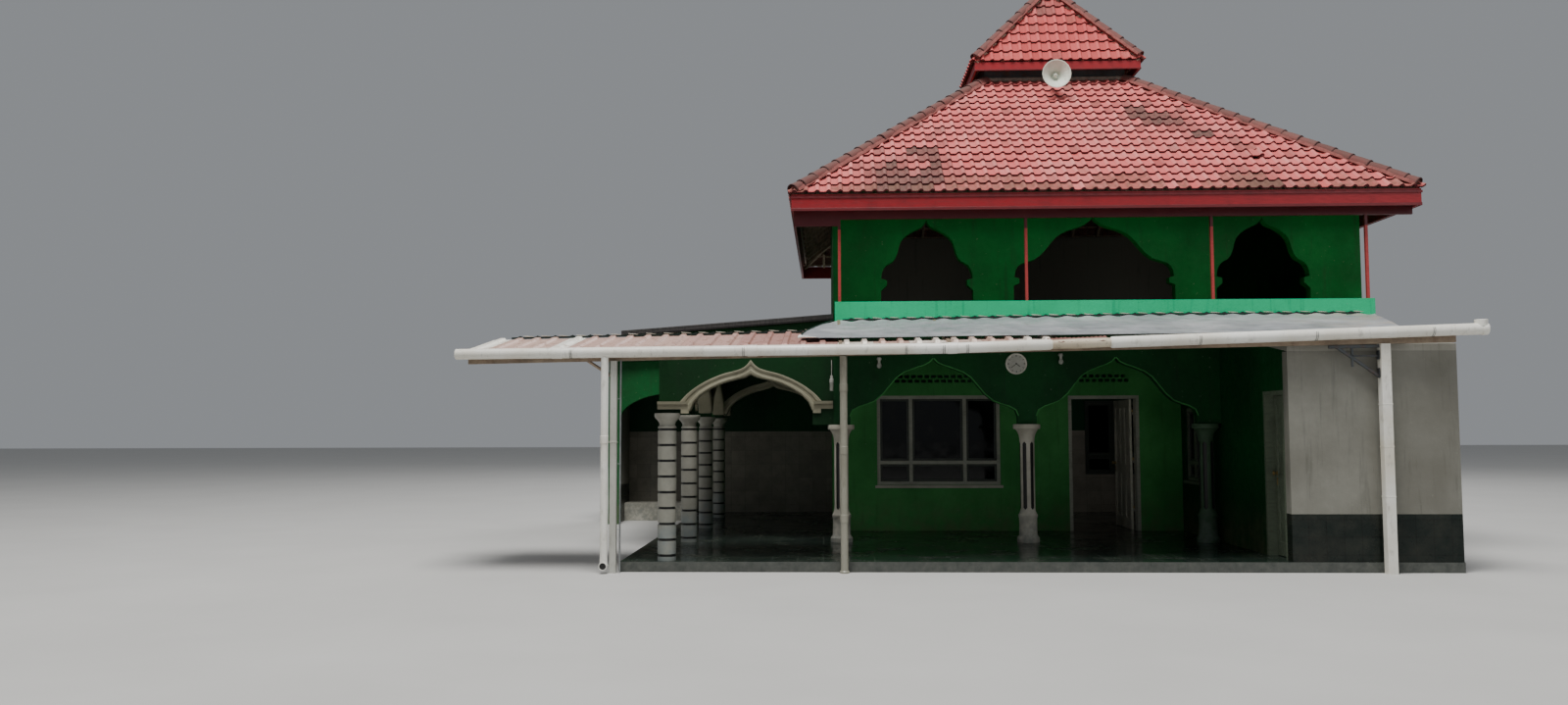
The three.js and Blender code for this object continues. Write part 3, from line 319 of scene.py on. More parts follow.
def banded_column():
    """Pale render between black grooves; the band mark shows the grooves."""
    look = Look("banded_column", 0.55, (144, 143, 132))
    look.coat(look.spots(7, 6, 0.35, 0.7, 0.5), (112, 110, 99))
    low = look.range(look.axis("Z"), 0.62, 0.42, 0.0, 0.6)
    look.coat(look.times(low, look.spots(6, 5, 0.3, 0.6)), (112, 126, 130))
    look.coat(look.mark("band"), (8, 9, 8))
    look.bump(look.noise(48, 4), 0.002, 0.4)
    return look.done(look.spots(12, 4, 0.3, 0.7, 0.65, least=0.4))


def zinc_sheet():
    """Galvanised sheet: cloudy zinc, soft dents, drip stains down the slope and a little rust, with bright
    blotches painted on as highlights.
    """
    look = Look("zinc_sheet", 0.45, Metallic=0.35)
    clouds = {0.25: (138, 141, 146), 0.5: (160, 163, 167), 0.75: (188, 190, 193)}
    look.tint = look.ramp(look.noise(2.4, 6, 0.65), clouds)
    # painted highlight: large bright blotches over the zinc
    look.coat(look.spots(0.8, 3, 0.5, 0.66, 0.55), (206, 207, 208))
    look.coat(look.spots(5, 6, 0.55, 0.75, 0.55, 0.7, (3.2, 0.35, 0.35)), (128, 116, 108))
    rust = look.times(look.range(look.axis("X"), 3.6, 5.4), look.spots(3, 6, 0.42, 0.62))
    look.coat(look.times(rust, 0.6), (196, 180, 152))
    look.bump(look.noise(3.5, 2), 0.03, 0.35)
    look.bump(look.noise(26, 4), 0.002, 0.3)
    return look.done(look.spots(4, 5, 0.3, 0.7, 0.62, least=0.34))


def rusty_sheet():
    """Old corrugated sheets: brown pink paint, white where the tone is high, rust towards the edges."""
    look = Look("rusty_sheet", 0.66, Metallic=0.15)
    tones = {0.0: (138, 98, 90), 0.45: (176, 132, 122), 0.75: (198, 170, 156), 1.0: (232, 229, 218)}
    look.tint = look.ramp(look.mark("tone"), tones)
    rust = look.spots(6, 7, 0.5, 0.68, 0.75, 0.72, (2.2, 0.6, 1.0))
    look.coat(rust, (122, 84, 66))
    look.coat(look.spots(9, 6, 0.6, 0.75, 0.6, 0.7), (206, 190, 172))
    look.bump(look.noise(34, 4), 0.003, 0.5)
    return look.done(look.range(rust, 0.0, 1.0, 0.5, 0.85))


def steel(name, colour, rust):
    look = Look(name, 0.5, colour, Metallic=0.5)
    look.coat(look.spots(4, 6, 0.4, 0.7), linear(colour, 0.55))
    look.coat(look.spots(11, 6, 0.52, 0.66, rust, 0.7), (104, 66, 46))
    look.bump(look.noise(40, 4), 0.002, 0.4)
    return look.done(look.spots(9, 4, 0.3, 0.7, 0.7, least=0.4))


def timber(name, colour, dark):
    look = Look(name, 0.75, colour)
    grain = look.noise(5, 7, 0.75, (9.0, 9.0, 1.0))
    look.coat(look.range(grain, 0.35, 0.65), dark)
    look.bump(grain, 0.003, 0.5)
    return look.done(look.range(grain, 0.3, 0.7, 0.6, 0.88))


# The pane is near-black: painted shade of the dark room behind it; the dust on it is real
def window_glass():
    look = Look("window_glass", 0.08, (5, 8, 8), Specular_IOR_Level=0.25)
    dust = look.spots(5, 6, 0.45, 0.8, rough=0.7)
    look.coat(dust, (20, 24, 22))
    look.bump(look.noise(1.6, 2), 0.01, 0.08)
    return look.done(look.range(dust, 0.0, 1.0, 0.05, 0.35))


# A dado is its height, tile, joint and tile size; inside is the depth and colour of a wall's inner half
TILED = (1.6, (132, 128, 116), (112, 108, 98), 0.25)
DARK_TILED = (0.66, (26, 34, 30), (14, 17, 15), 0.2)
BARE = (WALL_BACK - WALL / 2, (118, 116, 104))
# Painted shade: the ground, porch and back wall greens are the upper wall's green made darker for the shade
# under the canopy and lean-to; the back wall's tiled dado keeps its own colour
GREEN_GROUND_PAINTED_SHADE = painted_wall("green_ground_painted_shade", (2, 74, 30), (1, 52, 20))
GREEN_PORCH_PAINTED_SHADE = painted_wall("green_porch_painted_shade", (1, 54, 17), (1, 38, 11))
GREEN_INNER = painted_wall("green_window_wall", (74, 160, 84), (50, 128, 62))
GREEN_BACK_PAINTED_SHADE = painted_wall("green_back_wall_painted_shade", (5, 66, 32), (3, 48, 22), dado=TILED)
GREEN_UPPER = painted_wall("green_upper", (2, 112, 40), (1, 84, 28), 0.0)
UPPER_BACK = painted_wall("green_upper_back", (2, 112, 40), (1, 84, 28), 0.0, inside=BARE)
# Painted shade: the wing's green is darkened for the shade it stands in
GREEN_WING_PAINTED_SHADE = painted_wall("green_wing_painted_shade", (5, 92, 40), (4, 66, 28))
TEAL = painted_wall("teal_parapet", (0, 196, 134), (0, 178, 118), 0.0, roughness=0.5)
# Painted shade: the white wall is painted grey for the shade under the canopy; its dark tiled dado is its own
# colour
WHITE_WALL_PAINTED_SHADE = painted_wall("white_wall", (136, 135, 126), (114, 112, 103), dado=DARK_TILED)
PLAIN_WHITE = painted_wall("white_slab", (162, 160, 151), (134, 132, 122), 0.2)
FLOOR_TILES, ROOF_TILES, RIDGE_CAPS = tiled_floor(), roof_tiles(), ridge_caps()
BED_GRAIN, BED_BUMP = (16, 6, 0.7), (38, 5, 0.01, 0.7)
MORTAR = mottled("mortar", 0.95, BED_GRAIN, (88, 82, 74), (140, 132, 120), BED_BUMP)
HIP_BED = mottled("hip_bed", 0.95, BED_GRAIN, (108, 58, 54), (144, 84, 78), BED_BUMP)
LAMP = mottled("lamp_glass", 0.25, (18, 3), (156, 158, 148), (188, 190, 180))
DIAL = mottled("dial", 0.4, (14, 4), (172, 170, 161), (190, 189, 180), (60, 2, 0.0005, 0.2))
FASCIA_RED = gloss_paint("fascia_red", (148, 20, 30), (116, 18, 26))
MAROON = gloss_paint("maroon_trim", (110, 26, 32), (84, 22, 28))
# The eave frame's beam above 4.3 m is darkened: painted shade under the eaves
POST_RED = gloss_paint("post_red", (176, 58, 56), (138, 44, 44), 0.5, beam=(4.3, (78, 10, 18)))
JOINERY = gloss_paint("joinery", (168, 170, 154), (138, 142, 126), 0.2)
DOOR_PAINT = gloss_paint("door_paint", (200, 198, 180), (168, 168, 150), 0.2)
SIDE_DOOR_PAINT = gloss_paint("side_door_paint", (104, 114, 96), (76, 86, 70), 0.3)
SASH = gloss_paint("sash", (58, 66, 56), (40, 46, 40), 0.3)
BLACK_LINE = gloss_paint("black_marks", (26, 26, 26), (40, 40, 38), 0.1)
# Painted shadow: a dark green-black for strips along the sheets' edges
PAINTED_SHADOW = gloss_paint("painted_shadow_strip", (12, 34, 26), (8, 22, 18), 0.0)
PVC = plastic("pvc", (240, 239, 232), (204, 194, 172))
PVC_STAINED = plastic("pvc_stained", (206, 194, 172), (150, 126, 98), 0.8)
PVC_DUSTY = plastic("pvc_dusty", (150, 148, 134), (112, 106, 90), 0.7)
PVC_GREY = plastic("pvc_grey", (188, 188, 180), (142, 138, 126))
HORN_PAINT = plastic("horn_paint", (214, 220, 206), (168, 170, 150))
CREAM = plaster("cream_moulding", (146, 143, 121), (108, 105, 86))
PALE = plaster("pale_plaster", (196, 192, 178), (128, 122, 106))
# Painted shade: the third veranda column's darker grey-green stands for the deep shade it stands in
COLUMN_PAINTED_SHADE = plaster("column_painted_shade", (64, 92, 66), (42, 64, 44))
BANDED, ZINC, RUSTY, GLASS = banded_column(), zinc_sheet(), rusty_sheet(), window_glass()
STEEL = steel("dark_steel", (84, 88, 90), 0.45)
FRAME_STEEL = steel("frame_steel", (158, 140, 120), 0.4)
CONDUIT = steel("conduit_steel", (146, 150, 150), 0.25)
BRASS = steel("brass_knob", (168, 146, 92), 0.2)
OLD_SHEET = steel("old_sheet", (92, 96, 92), 0.35)
RAFTER_WOOD = timber("rafter_wood", (186, 164, 142), (120, 104, 90))
DARK_BOARD = timber("dark_board", (62, 56, 54), (32, 30, 30))


# Geometry

class Form:
    """Points and faces of one piece in the building's frame, with marks for each face."""

    def __init__(self):
        self.points, self.faces, self.marks = [], [], {"tone": [], "wear": [], "moss": [], "band": []}

    def add(self, points, faces, **marks):
        start = len(self.points)
        self.points.extend(points)
        self.faces.extend([tuple(start + i for i in face) for face in faces])
        for key, values in self.marks.items():
            value = marks.get(key, 0.5 if key == "tone" else 0.0)
            values.extend(value if isinstance(value, list) else [value] * len(faces))

    def loft(self, rings, capped=True, **marks):
        """Skin over rings of points, each ring as long as the next."""
        count, last = len(rings[0]), len(rings) - 1
        faces = []
        for low in range(0, last * count, count):
            for i in range(count):
                j = (i + 1) % count
                faces.append((low + i, low + j, low + count + j, low + count + i))
        if capped:
            faces.append(tuple(reversed(range(count))))
            faces.append(tuple(last * count + i for i in range(count)))
        self.add([tuple(p) for ring in rings for p in ring], faces, **marks)

    def beam(self, start, end, wide, deep, up=ALONG_Z, chamfer=0.004):
        """A straight bar of chamfered rectangular section, wide across and deep along up."""
        start, end = Vector(start), Vector(end)
        way = (end - start).normalized()
        across = way.cross(Vector(up)).normalized()
        high = across.cross(way)
        a, b, c = wide / 2, deep / 2, min(chamfer, wide / 3, deep / 3)
        section = [(a - c, b), (-a + c, b), (-a, b - c), (-a, -b + c)]
        section += [(-u, -v) for u, v in section]
        self.loft([[at + across * u + high * v for u, v in section] for at in (start, end)])

    def block(self, x0, x1, y0, y1, z0, z1, chamfer=0.004):
        y, z = (y0 + y1) / 2, (z0 + z1) / 2
        self.beam((x0, y, z), (x1, y, z), y1 - y0, z1 - z0, chamfer=chamfer)

    def lathe(self, profile, centre, sides, capped=True, turn=None, **marks):
        """A turned piece from pairs of radius and height, upright or turned by a matrix."""
        angles = [2 * math.pi * i / sides for i in range(sides)]
        rings = []
        for radius, height in profile:
            ring = [Vector((radius * math.cos(t), radius * math.sin(t), height)) for t in angles]
            rings.append([(turn @ point if turn else point) + Vector(centre) for point in ring])
        if "band" in marks:
            marks["band"] = [value for value in marks["band"] for _ in angles] + [0.0, 0.0]
        self.loft(rings, capped, **marks)

    def tube(self, path, radius, sides=12):
        """A round bar along a path; radius is one number or one for each point."""
        path = [Vector(point) for point in path]
        radii = radius if isinstance(radius, list) else [radius] * len(path)
        angles = [2 * math.pi * k / sides for k in range(sides)]
        rings, side = [], None
        for i, (point, size) in enumerate(zip(path, radii)):
            way = (path[min(i + 1, len(path) - 1)] - path[max(i - 1, 0)]).normalized()
            side = side or way.orthogonal().normalized()
            side = (side - way * side.dot(way)).normalized()
            other = way.cross(side)
            rings.append([point + (side * math.cos(t) + other * math.sin(t)) * size for t in angles])
        self.loft(rings)

    def curtain(self, rows, thick, push=(0, 0, -1), **marks):
        """A sheet over rows of points, with thickness along push and closed edges."""
        high, wide = len(rows), len(rows[0])
        total = high * wide
        top = [Vector(p) for row in rows for p in row]
        under = [p + Vector(push).normalized() * thick for p in top]
        faces = []
        for a in (r * wide + c for r in range(high - 1) for c in range(wide - 1)):
            face = (a, a + 1, a + wide + 1, a + wide)
            faces += [face, tuple(total + i for i in reversed(face))]
        rim = list(range(wide)) + [r * wide + wide - 1 for r in range(1, high)]
        rim += [(high - 1) * wide + c for c in range(wide - 2, -1, -1)]
        rim += [r * wide for r in range(high - 2, 0, -1)]
        faces += [(b, a, total + a, total + b) for a, b in zip(rim, rim[1:] + rim[:1])]
        self.add([tuple(p) for p in top + under], faces, **marks)


def piece(name, form, material, *replaced, body="building", sharp=35):
    """Makes the mesh object in its finish and slot, on its CAD body, in place of the CAD nodes named."""
    mesh = bpy.data.meshes.new(name)
    mesh.from_pydata([(p[0] + SHIFT.x, p[1] + SHIFT.y, p[2] + SHIFT.z) for p in form.points], [], form.faces)
    for key, values in form.marks.items():
        if any(value != values[0] for value in values):
            mesh.attributes.new(key, "FLOAT", "FACE").data.foreach_set("value", values)
    work = bmesh.new()
    work.from_mesh(mesh)
    bmesh.ops.recalc_face_normals(work, faces=work.faces)
    work.to_mesh(mesh)
    work.free()
    mesh.polygons.foreach_set("use_smooth", [True] * len(mesh.polygons))
    mesh.set_sharp_from_angle(angle=math.radians(sharp))
    mesh.materials.append(material)
    made = new_object(name, mesh)
    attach(made, body)
    if replaced:
        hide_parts(*replaced)


# Arch lines, the same as the walls' own

CHORDS = 4  # straight pieces that each curve is drawn with
OGEE = {"half": 1.13, "rise": 0.78, "curves": [
    [(0, 0), (0.04, 0.09), (0.2, 0.1), (0.4, 0.19)],
    [(0.4, 0.19), (0.55, 0.25), (0.62, 0.47), (0.8, 0.58)],
    [(0.8, 0.58), (0.93, 0.65), (1.13, 0.64), (1.13, 0.78)],
]}
PORCH_ARCH = {"half": 0.84, "rise": 0.5, "curves": [
    [(0, 0), (0.06, 0.06), (0.25, 0.06), (0.406, 0.125)],
    [(0.406, 0.125), (0.6, 0.2), (0.8, 0.32), (0.84, 0.5)],
]}


def bezier(ends, t):
    a, b, c, d = (Vector((*end, 0)) for end in ends)
    s = 1 - t
    return (a * s ** 3 + b * 3 * s * s * t + c * 3 * s * t * t + d * t ** 3).to_2d()


def arch_side(profile, half, apex, foot):
    """Offsets and heights from the apex down to the foot, on the same chords as the wall's."""
    wide, tall = half / profile["half"], (apex - foot) / profile["rise"]
    side = [(0.0, 0.0)]
    side += [bezier(curve, k / CHORDS) for curve in profile["curves"] for k in range(1, CHORDS + 1)]
    return [(u * wide, apex - v * tall) for u, v in side]


def outward(line):
    """For each point of half an arch, the direction that leads out of the opening."""
    for before, after in zip(line[:1] + line, line[1:] + line[-1:]):
        run, fall = after[0] - before[0], after[1] - before[1]
        size = math.hypot(run, fall)
        yield -fall / size, run / size


# The tiled roofs: one piece of tiles for each slope

Roof = namedtuple("Roof", "label node half_x half_y eave top_x top_y top courses tone cap_radius cap_length"
                  " rafter_pitch rafter_deep")
LOWER = Roof("lower", "lower_roof", 4.15, 3.58, 4.78, 1.1, 0.45, 7.19, 17, 0.52, 0.086, 0.262, 0.46, 0.07)
TIER = Roof("tier", "top_roof", 1.37, 0.75, 7.40, 0.04, 0.04, 8.8, 8, 0.12, 0.076, 0.25, 0.42, 0.05)
SIDES = {"front": (0, -1), "right": (1, 0), "back": (0, 1), "left": (-1, 0)}
CORNERS = ((-1, -1), (1, -1), (1, 1), (-1, 1))
TILE_PITCH = 0.152
ROLL = [  # share of the pitch, height: a flat pan, then the roll that laps over the next tile
    (-0.04, 0.001), (0.08, 0.002), (0.34, 0.0), (0.52, 0.002), (0.6, 0.012), (0.68, 0.026), (0.75, 0.032),
    (0.86, 0.032), (0.94, 0.025), (1.02, 0.01),
]
ROLL_TOP, ROLL_HIGHLIGHT = range(4, 9), 0.24  # strips of the roll, and the tone added to them as a painted highlight
ROLL_DRIP = 0.3  # share of the roll's height by which its front edge hangs lower
NOSE_STRIPS, UNDERSIDE = (0, 1, 6), 5  # strips round a tile: its front edge, painted dark as the shade under its nose, and its face below
LIFT, LAP, NOSE = 0.029, 0.04, 0.019
PAN_DROP = 0.047  # how far the flat part lies under the roof's nominal plane
TILE_JITTER, BROKEN_TILE = 0.0014, (2.3, 1.0)
BATTEN_DEPTH, BATTEN_WIDE, BATTEN_THICK, RAFTER_WIDE = -0.084, 0.03, 0.018, 0.045
FIRST_BATTEN, HIP_RAFTER_WIDE, HIP_RAFTER_DROP = 0.09, 0.06, -0.13
SOOT = [  # sooty tiles on the front slope, from and to along the eave, then up the slope
    (-3.06, -2.07, 0.0, 0.72), (-2.8, -2.07, 0.72, 0.95), (-2.45, -2.07, 0.95, 1.19),
    (0.78, 1.21, 2.25, 2.76), (1.05, 1.52, 1.88, 2.37), (1.44, 1.63, 1.66, 1.94), (1.58, 1.97, 1.42, 1.85),
    (2.03, 2.22, 1.17, 1.37), (1.93, 2.37, 0.0, 0.35),
]
CLEAN_IN_SOOT = [(-2.42, 0.46), (-2.42, 0.62), (-2.27, 0.62)]
MOSSY = [(-2.06, -1.75, 0.24), (-1.76, -1.05, 0.3), (-0.04, 0.7, 0.3), (1.53, 2.2, 0.3)]  # from, to, height
SOOT_EDGE, SOOT_NEAR = 0.12, (0.2, 0.25)  # depth of its ragged border, and how far it strays


class Slope:
    """One plane of a hip roof: a point from its distance along the eave, up the slope, and out of it."""

    def __init__(self, roof, side):
        out = Vector((*SIDES[side], 0))
        along_x, along_y = (roof.half_x, roof.top_x), (roof.half_y, roof.top_y)
        (self.low, self.high), (reach, inner) = (along_x, along_y) if out.y else (along_y, along_x)
        rise = roof.top - roof.eave
        self.length = math.hypot(reach - inner, rise)
        self.exposure = self.length / roof.courses
        self.along = Vector((-out.y, out.x, 0))
        self.up = (out * -(reach - inner) + Vector((0, 0, rise))) / self.length
        self.out = self.along.cross(self.up)
        self.start = out * reach + Vector((0, ROOF_MIDDLE, roof.eave))

    def half(self, t):
        share = min(max(t / self.length, 0.0), 1.0)
        return self.low + (self.high - self.low) * share

    def at(self, s, t, n):
        return self.start + self.along * s + self.up * t + self.out * n


def soot_at(s, t):
    """How sooty the tile at s, t on the front slope is."""
    if any(abs(s - u) < TILE_PITCH / 2 and abs(t - v) < 0.1 for u, v in CLEAN_IN_SOOT):
        return 0.15
    for s0, s1, t0, t1 in SOOT:
        if s0 <= s <= s1 and t0 <= t <= t1:
            worn_border = min(s - s0, s1 - s, t1 - t) < SOOT_EDGE and chance.random() < 0.4
            return chance.uniform(0.3, 0.75) if worn_border else chance.uniform(0.85, 1.0)
    wide, high = SOOT_NEAR
    near = any(s0 - wide <= s <= s1 + wide and t0 - high <= t <= t1 + high for s0, s1, t0, t1 in SOOT)
    return chance.uniform(0.2, 0.6) if near and chance.random() < 0.45 else 0.0


def add_tile(form, slope, s0, t0, tone, wear, moss):
    """One tile: five rows over it from the nose up, two under it, and its two ends; past a hip it is cut."""
    lift = chance.gauss(0, TILE_JITTER)
    slip = min(0.0, chance.gauss(0, 0.002)) if t0 > 0.05 else 0.0
    skew = chance.gauss(0, TILE_JITTER)
    if abs(s0 - BROKEN_TILE[0]) < TILE_PITCH / 2 and abs(t0 - BROKEN_TILE[1]) < slope.exposure / 2:
        lift, skew = 0.03, 0.02
    start, middle = t0 + slip, t0 + slope.exposure * 0.5
    top_end = min(t0 + slope.exposure + LAP, slope.length)
    grid = []
    for t, rise, drip in ((start + 0.003, LIFT - NOSE, ROLL_DRIP), (start, LIFT - NOSE * 0.5, 0),
                          (start + 0.006, LIFT, 0), (middle, LIFT * 0.5, 0), (top_end, -0.001, 0)):
        limit, row = slope.half(t), []
        for u, height in ROLL:
            s = s0 + (u - 0.5) * TILE_PITCH + skew * (t - t0) / slope.exposure
            n = height * (1 - drip) + rise + lift - PAN_DROP
            row.append((max(-limit, min(limit, s)), t, n, abs(s) > limit))
        grid.append(row)
    if all(point[3] for row in grid for point in row):
        return
    thick = [NOSE + ROLL_DRIP * height for _, height in ROLL]
    for row in (grid[4], grid[2]):
        grid.append([(s, t, n - deep, cut) for (s, t, n, cut), deep in zip(row, thick)])
    points = [tuple(slope.at(s, t, n)) for row in grid for s, t, n, _ in row]
    faces, edges, tones, soots = [], [], [], []
    wide, last = len(ROLL), len(grid)
    for low in range(last):
        high = (low + 1) % last
        for c in range(wide - 1):
            if not all(grid[r][k][3] for r in (low, high) for k in (c, c + 1)):
                a, b = low * wide + c, high * wide + c
                faces.append((a, a + 1, b + 1, b))
                # the nose strips take the band mark: painted shade
                edges.append(1.0 if low in NOSE_STRIPS else 0.0)
                # the roll's top strips get a painted highlight
                tones.append(min(1.0, tone + (ROLL_HIGHLIGHT if c in ROLL_TOP else 0.0)))
                soots.append(1.0 if low == UNDERSIDE else wear)
    for c in (0, wide - 1):
        if not all(row[c][3] for row in grid):
            faces.append(tuple(row * wide + c for row in range(last)))
            # the cut ends take a lighter band mark: painted shade
            edges.append(0.6)
            tones.append(tone)
            soots.append(wear)
    form.add(points, faces, band=edges, tone=tones, wear=soots, moss=moss)


def tile_marks(roof, side, course, s, t):
    """A tile's tone, wear and moss; the front slope's soot and moss lie where they are seen."""
    tone = min(1.0, max(0.0, chance.gauss(roof.tone, 0.07)))
    wear = moss = 0.0
    if side == "front" and roof is LOWER:
        wear = soot_at(s, t)
        moss = 0.75 if any(s0 <= s <= s1 and t <= high for s0, s1, high in MOSSY) else 0.0
    elif noise.noise(Vector((s * 1.1, t * 1.1, 3.7 * len(side)))) > 0.44:
        wear = chance.uniform(0.3, 0.8)
    wear = max(wear, chance.uniform(0.2, 0.5) if chance.random() < 0.05 else 0.0)
    moss = max(moss, 0.8 if course == 0 and roof is LOWER and chance.random() < 0.8 else 0.0)
    return tone, wear, max(moss, 0.4 if chance.random() < 0.03 else 0.0)


def build_tiles(roof):
    for side in SIDES:
        slope = Slope(roof, side)
        form = Form()
        columns = math.ceil(slope.low / TILE_PITCH) + 1
        for course in range(roof.courses):
            t = course * slope.exposure + (0.006 if course == 0 else 0.0)
            for s in (column * TILE_PITCH for column in range(-columns, columns + 1)):
                if abs(s) - TILE_PITCH <= slope.half(t):
                    add_tile(form, slope, s, t, *tile_marks(roof, side, course, s, t))
        replaced = [roof.node] if side == "front" else []
        piece(f"{roof.label}_tiles_{side}", form, ROOF_TILES, *replaced, sharp=50)


def corner_line(roof, sign_x, sign_y):
    low = Vector((sign_x * roof.half_x, ROOF_MIDDLE + sign_y * roof.half_y, roof.eave))
    return low, Vector((sign_x * roof.top_x, ROOF_MIDDLE + sign_y * roof.top_y, roof.top))


CAP_WALL = 0.013
CAP_TURNS = [math.radians(-98 + 196 * k / 8) for k in range(9)]
CAP_SECTION = [(angle, 0.0) for angle in CAP_TURNS] + [(angle, CAP_WALL) for angle in reversed(CAP_TURNS)]
BED_SECTION = ((-1.22, -0.05), (-0.98, -0.01), (0, 0.03), (0.98, -0.01), (1.22, -0.05), (0, -0.08))


def build_hips(roof):
    """Half-round caps down every hip, each lapping over the next, in a lumpy bed of mortar."""
    caps, bed, radius = Form(), Form(), roof.cap_radius
    for signs in CORNERS:
        low, high = corner_line(roof, *signs)
        way = (high - low).normalized()
        level = Vector((way.y, -way.x, 0)).normalized()
        out = level.cross(way)
        out *= math.copysign(1, out.z)
        total = (high - low).length
        count = round(total / roof.cap_length)
        step = total / count
        for index in range(count):
            start = low + way * (0.1 if index == 0 else index * step)
            end = low + way * min(total, (index + 1) * step + 0.035)
            wobble = chance.gauss(0, 0.004)
            rings = []
            for at, size, rise in (
                (start, 1.05, 0.004), (start + way * 0.012, 1.07, 0.006), (start + way * 0.035, 1.02, 0.003),
                (start + (end - start) * 0.5, 1.0, 0.002), (end, 0.95, -0.006),
            ):
                ring = []
                for angle, inset in CAP_SECTION:
                    reach = radius * size - inset
                    spot = level * math.sin(angle) * reach + out * (math.cos(angle) * reach * 0.82 + rise)
                    ring.append(at + spot + level * wobble - out * 0.018)
                rings.append(ring)
            side = len(CAP_SECTION)
            rim = [1.0] * side + [0.0] * (side * (len(rings) - 2)) + [1.0, 0.0]
            caps.loft(rings, tone=min(1.0, max(0.0, chance.gauss(0.5, 0.18))), band=rim)
        rings = []
        for share in (k / 60 for k in range(61)):
            at = low + way * (0.12 + (total - 0.12) * share)
            lump = 0.012 * noise.noise(at * 9)
            rings.append([at + level * u * (radius + lump) + out * (v + lump * 0.6) for u, v in BED_SECTION])
        bed.loft(rings)
    piece(f"{roof.label}_hip_caps", caps, RIDGE_CAPS, sharp=40)
    piece(f"{roof.label}_hip_mortar", bed, HIP_BED, sharp=60)


def build_roof_timbers(roof):
    """Battens under every course and rafters under them, seen from below the eaves."""
    battens, rafters, deep = Form(), Form(), roof.rafter_deep
    for side in SIDES:
        slope = Slope(roof, side)
        for course in range(roof.courses):
            t = course * slope.exposure + FIRST_BATTEN
            half = slope.half(t) - 0.03
            if half >= 0.06:
                start, end = (slope.at(s, t, BATTEN_DEPTH) for s in (-half, half))
                battens.beam(start, end, BATTEN_WIDE, BATTEN_THICK, slope.out, 0.002)
        count = int((slope.low - 0.2) / roof.rafter_pitch)
        for s in (index * roof.rafter_pitch for index in range(-count, count + 1)):
            room = (slope.low - abs(s) - 0.12) / (slope.low - slope.high) * slope.length
            reach = min(slope.length - 0.06, room)
            if reach >= 0.3:
                start, end = (slope.at(s, t, BATTEN_DEPTH - (BATTEN_THICK + deep) / 2) for t in (0.1, reach))
                rafters.beam(start, end, RAFTER_WIDE, deep, slope.out)
    for signs in CORNERS:
        low, high = corner_line(roof, *signs)
        way, drop = (high - low).normalized(), Vector((0, 0, HIP_RAFTER_DROP))
        rafters.beam(low + way * 0.16 + drop, high - way * 0.1 + drop, HIP_RAFTER_WIDE, deep)
    piece(f"{roof.label}_battens", battens, RAFTER_WOOD)
    piece(f"{roof.label}_rafters", rafters, RAFTER_WOOD)


def build_fascias():
    """Boards round the roofs, from half length, half depth, bottom, top and thickness."""
    for name, material, chamfer, rings in (
        ("fascia_trim", MAROON, 0.004, [
            (4.106, 3.536, 4.522, 4.562, 0.012), (4.112, 3.542, 4.69, 4.722, 0.016),
            (1.296, 0.716, 7.244, 7.262, 0.01),
        ]),
        ("eave_fillets", FASCIA_RED, 0.004, [
            (4.1, 3.53, 4.72, 4.748, 0.03), (1.29, 0.71, 7.345, 7.376, 0.025),
        ]),
        ("neck_flashing", MORTAR, 0.02, [(1.16, 0.51, 7.13, 7.2, 0.06)]),
    ):
        form = Form()
        for half_x, half_y, z0, z1, thick in rings:
            z, inner = (z0 + z1) / 2, half_y - thick
            for sign in (-1, 1):
                x, y = sign * (half_x - thick / 2), ROOF_MIDDLE + sign * (half_y - thick / 2)
                near, far = ROOF_MIDDLE - inner, ROOF_MIDDLE + inner
                for x0, x1, y0, y1 in ((-half_x, half_x, y, y), (x, x, near, far)):
                    form.beam((x0, y0, z), (x1, y1, z), thick, z1 - z0, chamfer=chamfer)
        piece(name, form, material)


for build in (build_tiles, build_hips, build_roof_timbers):
    for one_roof in (LOWER, TIER):
        build(one_roof)
build_fascias()


# Porch mouldings: each place function turns offset, height and distance out of the wall into a point

PORCH_HALF, PORCH_APEX, PORCH_FOOT = 0.84, 2.393, 1.893
PORCH_MIDDLE, PORCH_ROW, PORCH_BAY = -4.676, -5.525, 2.23  # the front arch's x, the columns' x, their spacing
CROSS_MIDDLE, CROSS_HALF, CROSS_FACE = -4.57, 0.82, 6.79
SIDE_PIER, SIDE_BAND_WIDTH = 0.095, 0.62
LINER_THICK, BAND_COUNT = 0.006, 26
BAND_OUTER = [
    (0.0, 2.585), (0.075, 2.498), (0.18, 2.447), (0.406, 2.387), (0.657, 2.274), (0.847, 2.143),
    (0.965, 2.023),
]
BAND_SECTION = [  # share of the way out from the opening, and how far it stands proud of the wall
    (0.0, 0.0), (0.0, 0.02), (0.1, 0.028), (0.3, 0.026), (0.36, 0.018), (0.66, 0.018), (0.72, 0.03),
    (0.94, 0.034), (1.0, 0.026), (1.0, 0.0),
]
LEDGE = [  # how far it stands proud, and height
    (0.0, 1.916), (0.022, 1.916), (0.03, 1.945), (0.03, 1.972), (0.05, 1.985), (0.056, 2.023), (0.0, 2.023),
]


def fill_between(rows, steps):
    """A smooth line through measured points, a cubic between each two."""
    points = [np.array(row) for row in rows[:1] + rows + rows[-1:]]
    line = []
    for p0, p1, p2, p3 in zip(points, points[1:], points[2:], points[3:]):
        for t in (k / steps for k in range(steps)):
            square, cube = 2 * p0 - 5 * p1 + 4 * p2 - p3, 3 * p1 - p0 - 3 * p2 + p3
            line.append(tuple(0.5 * (2 * p1 + (p2 - p0) * t + square * t * t + cube * t ** 3)))
    return line + rows[-1:]


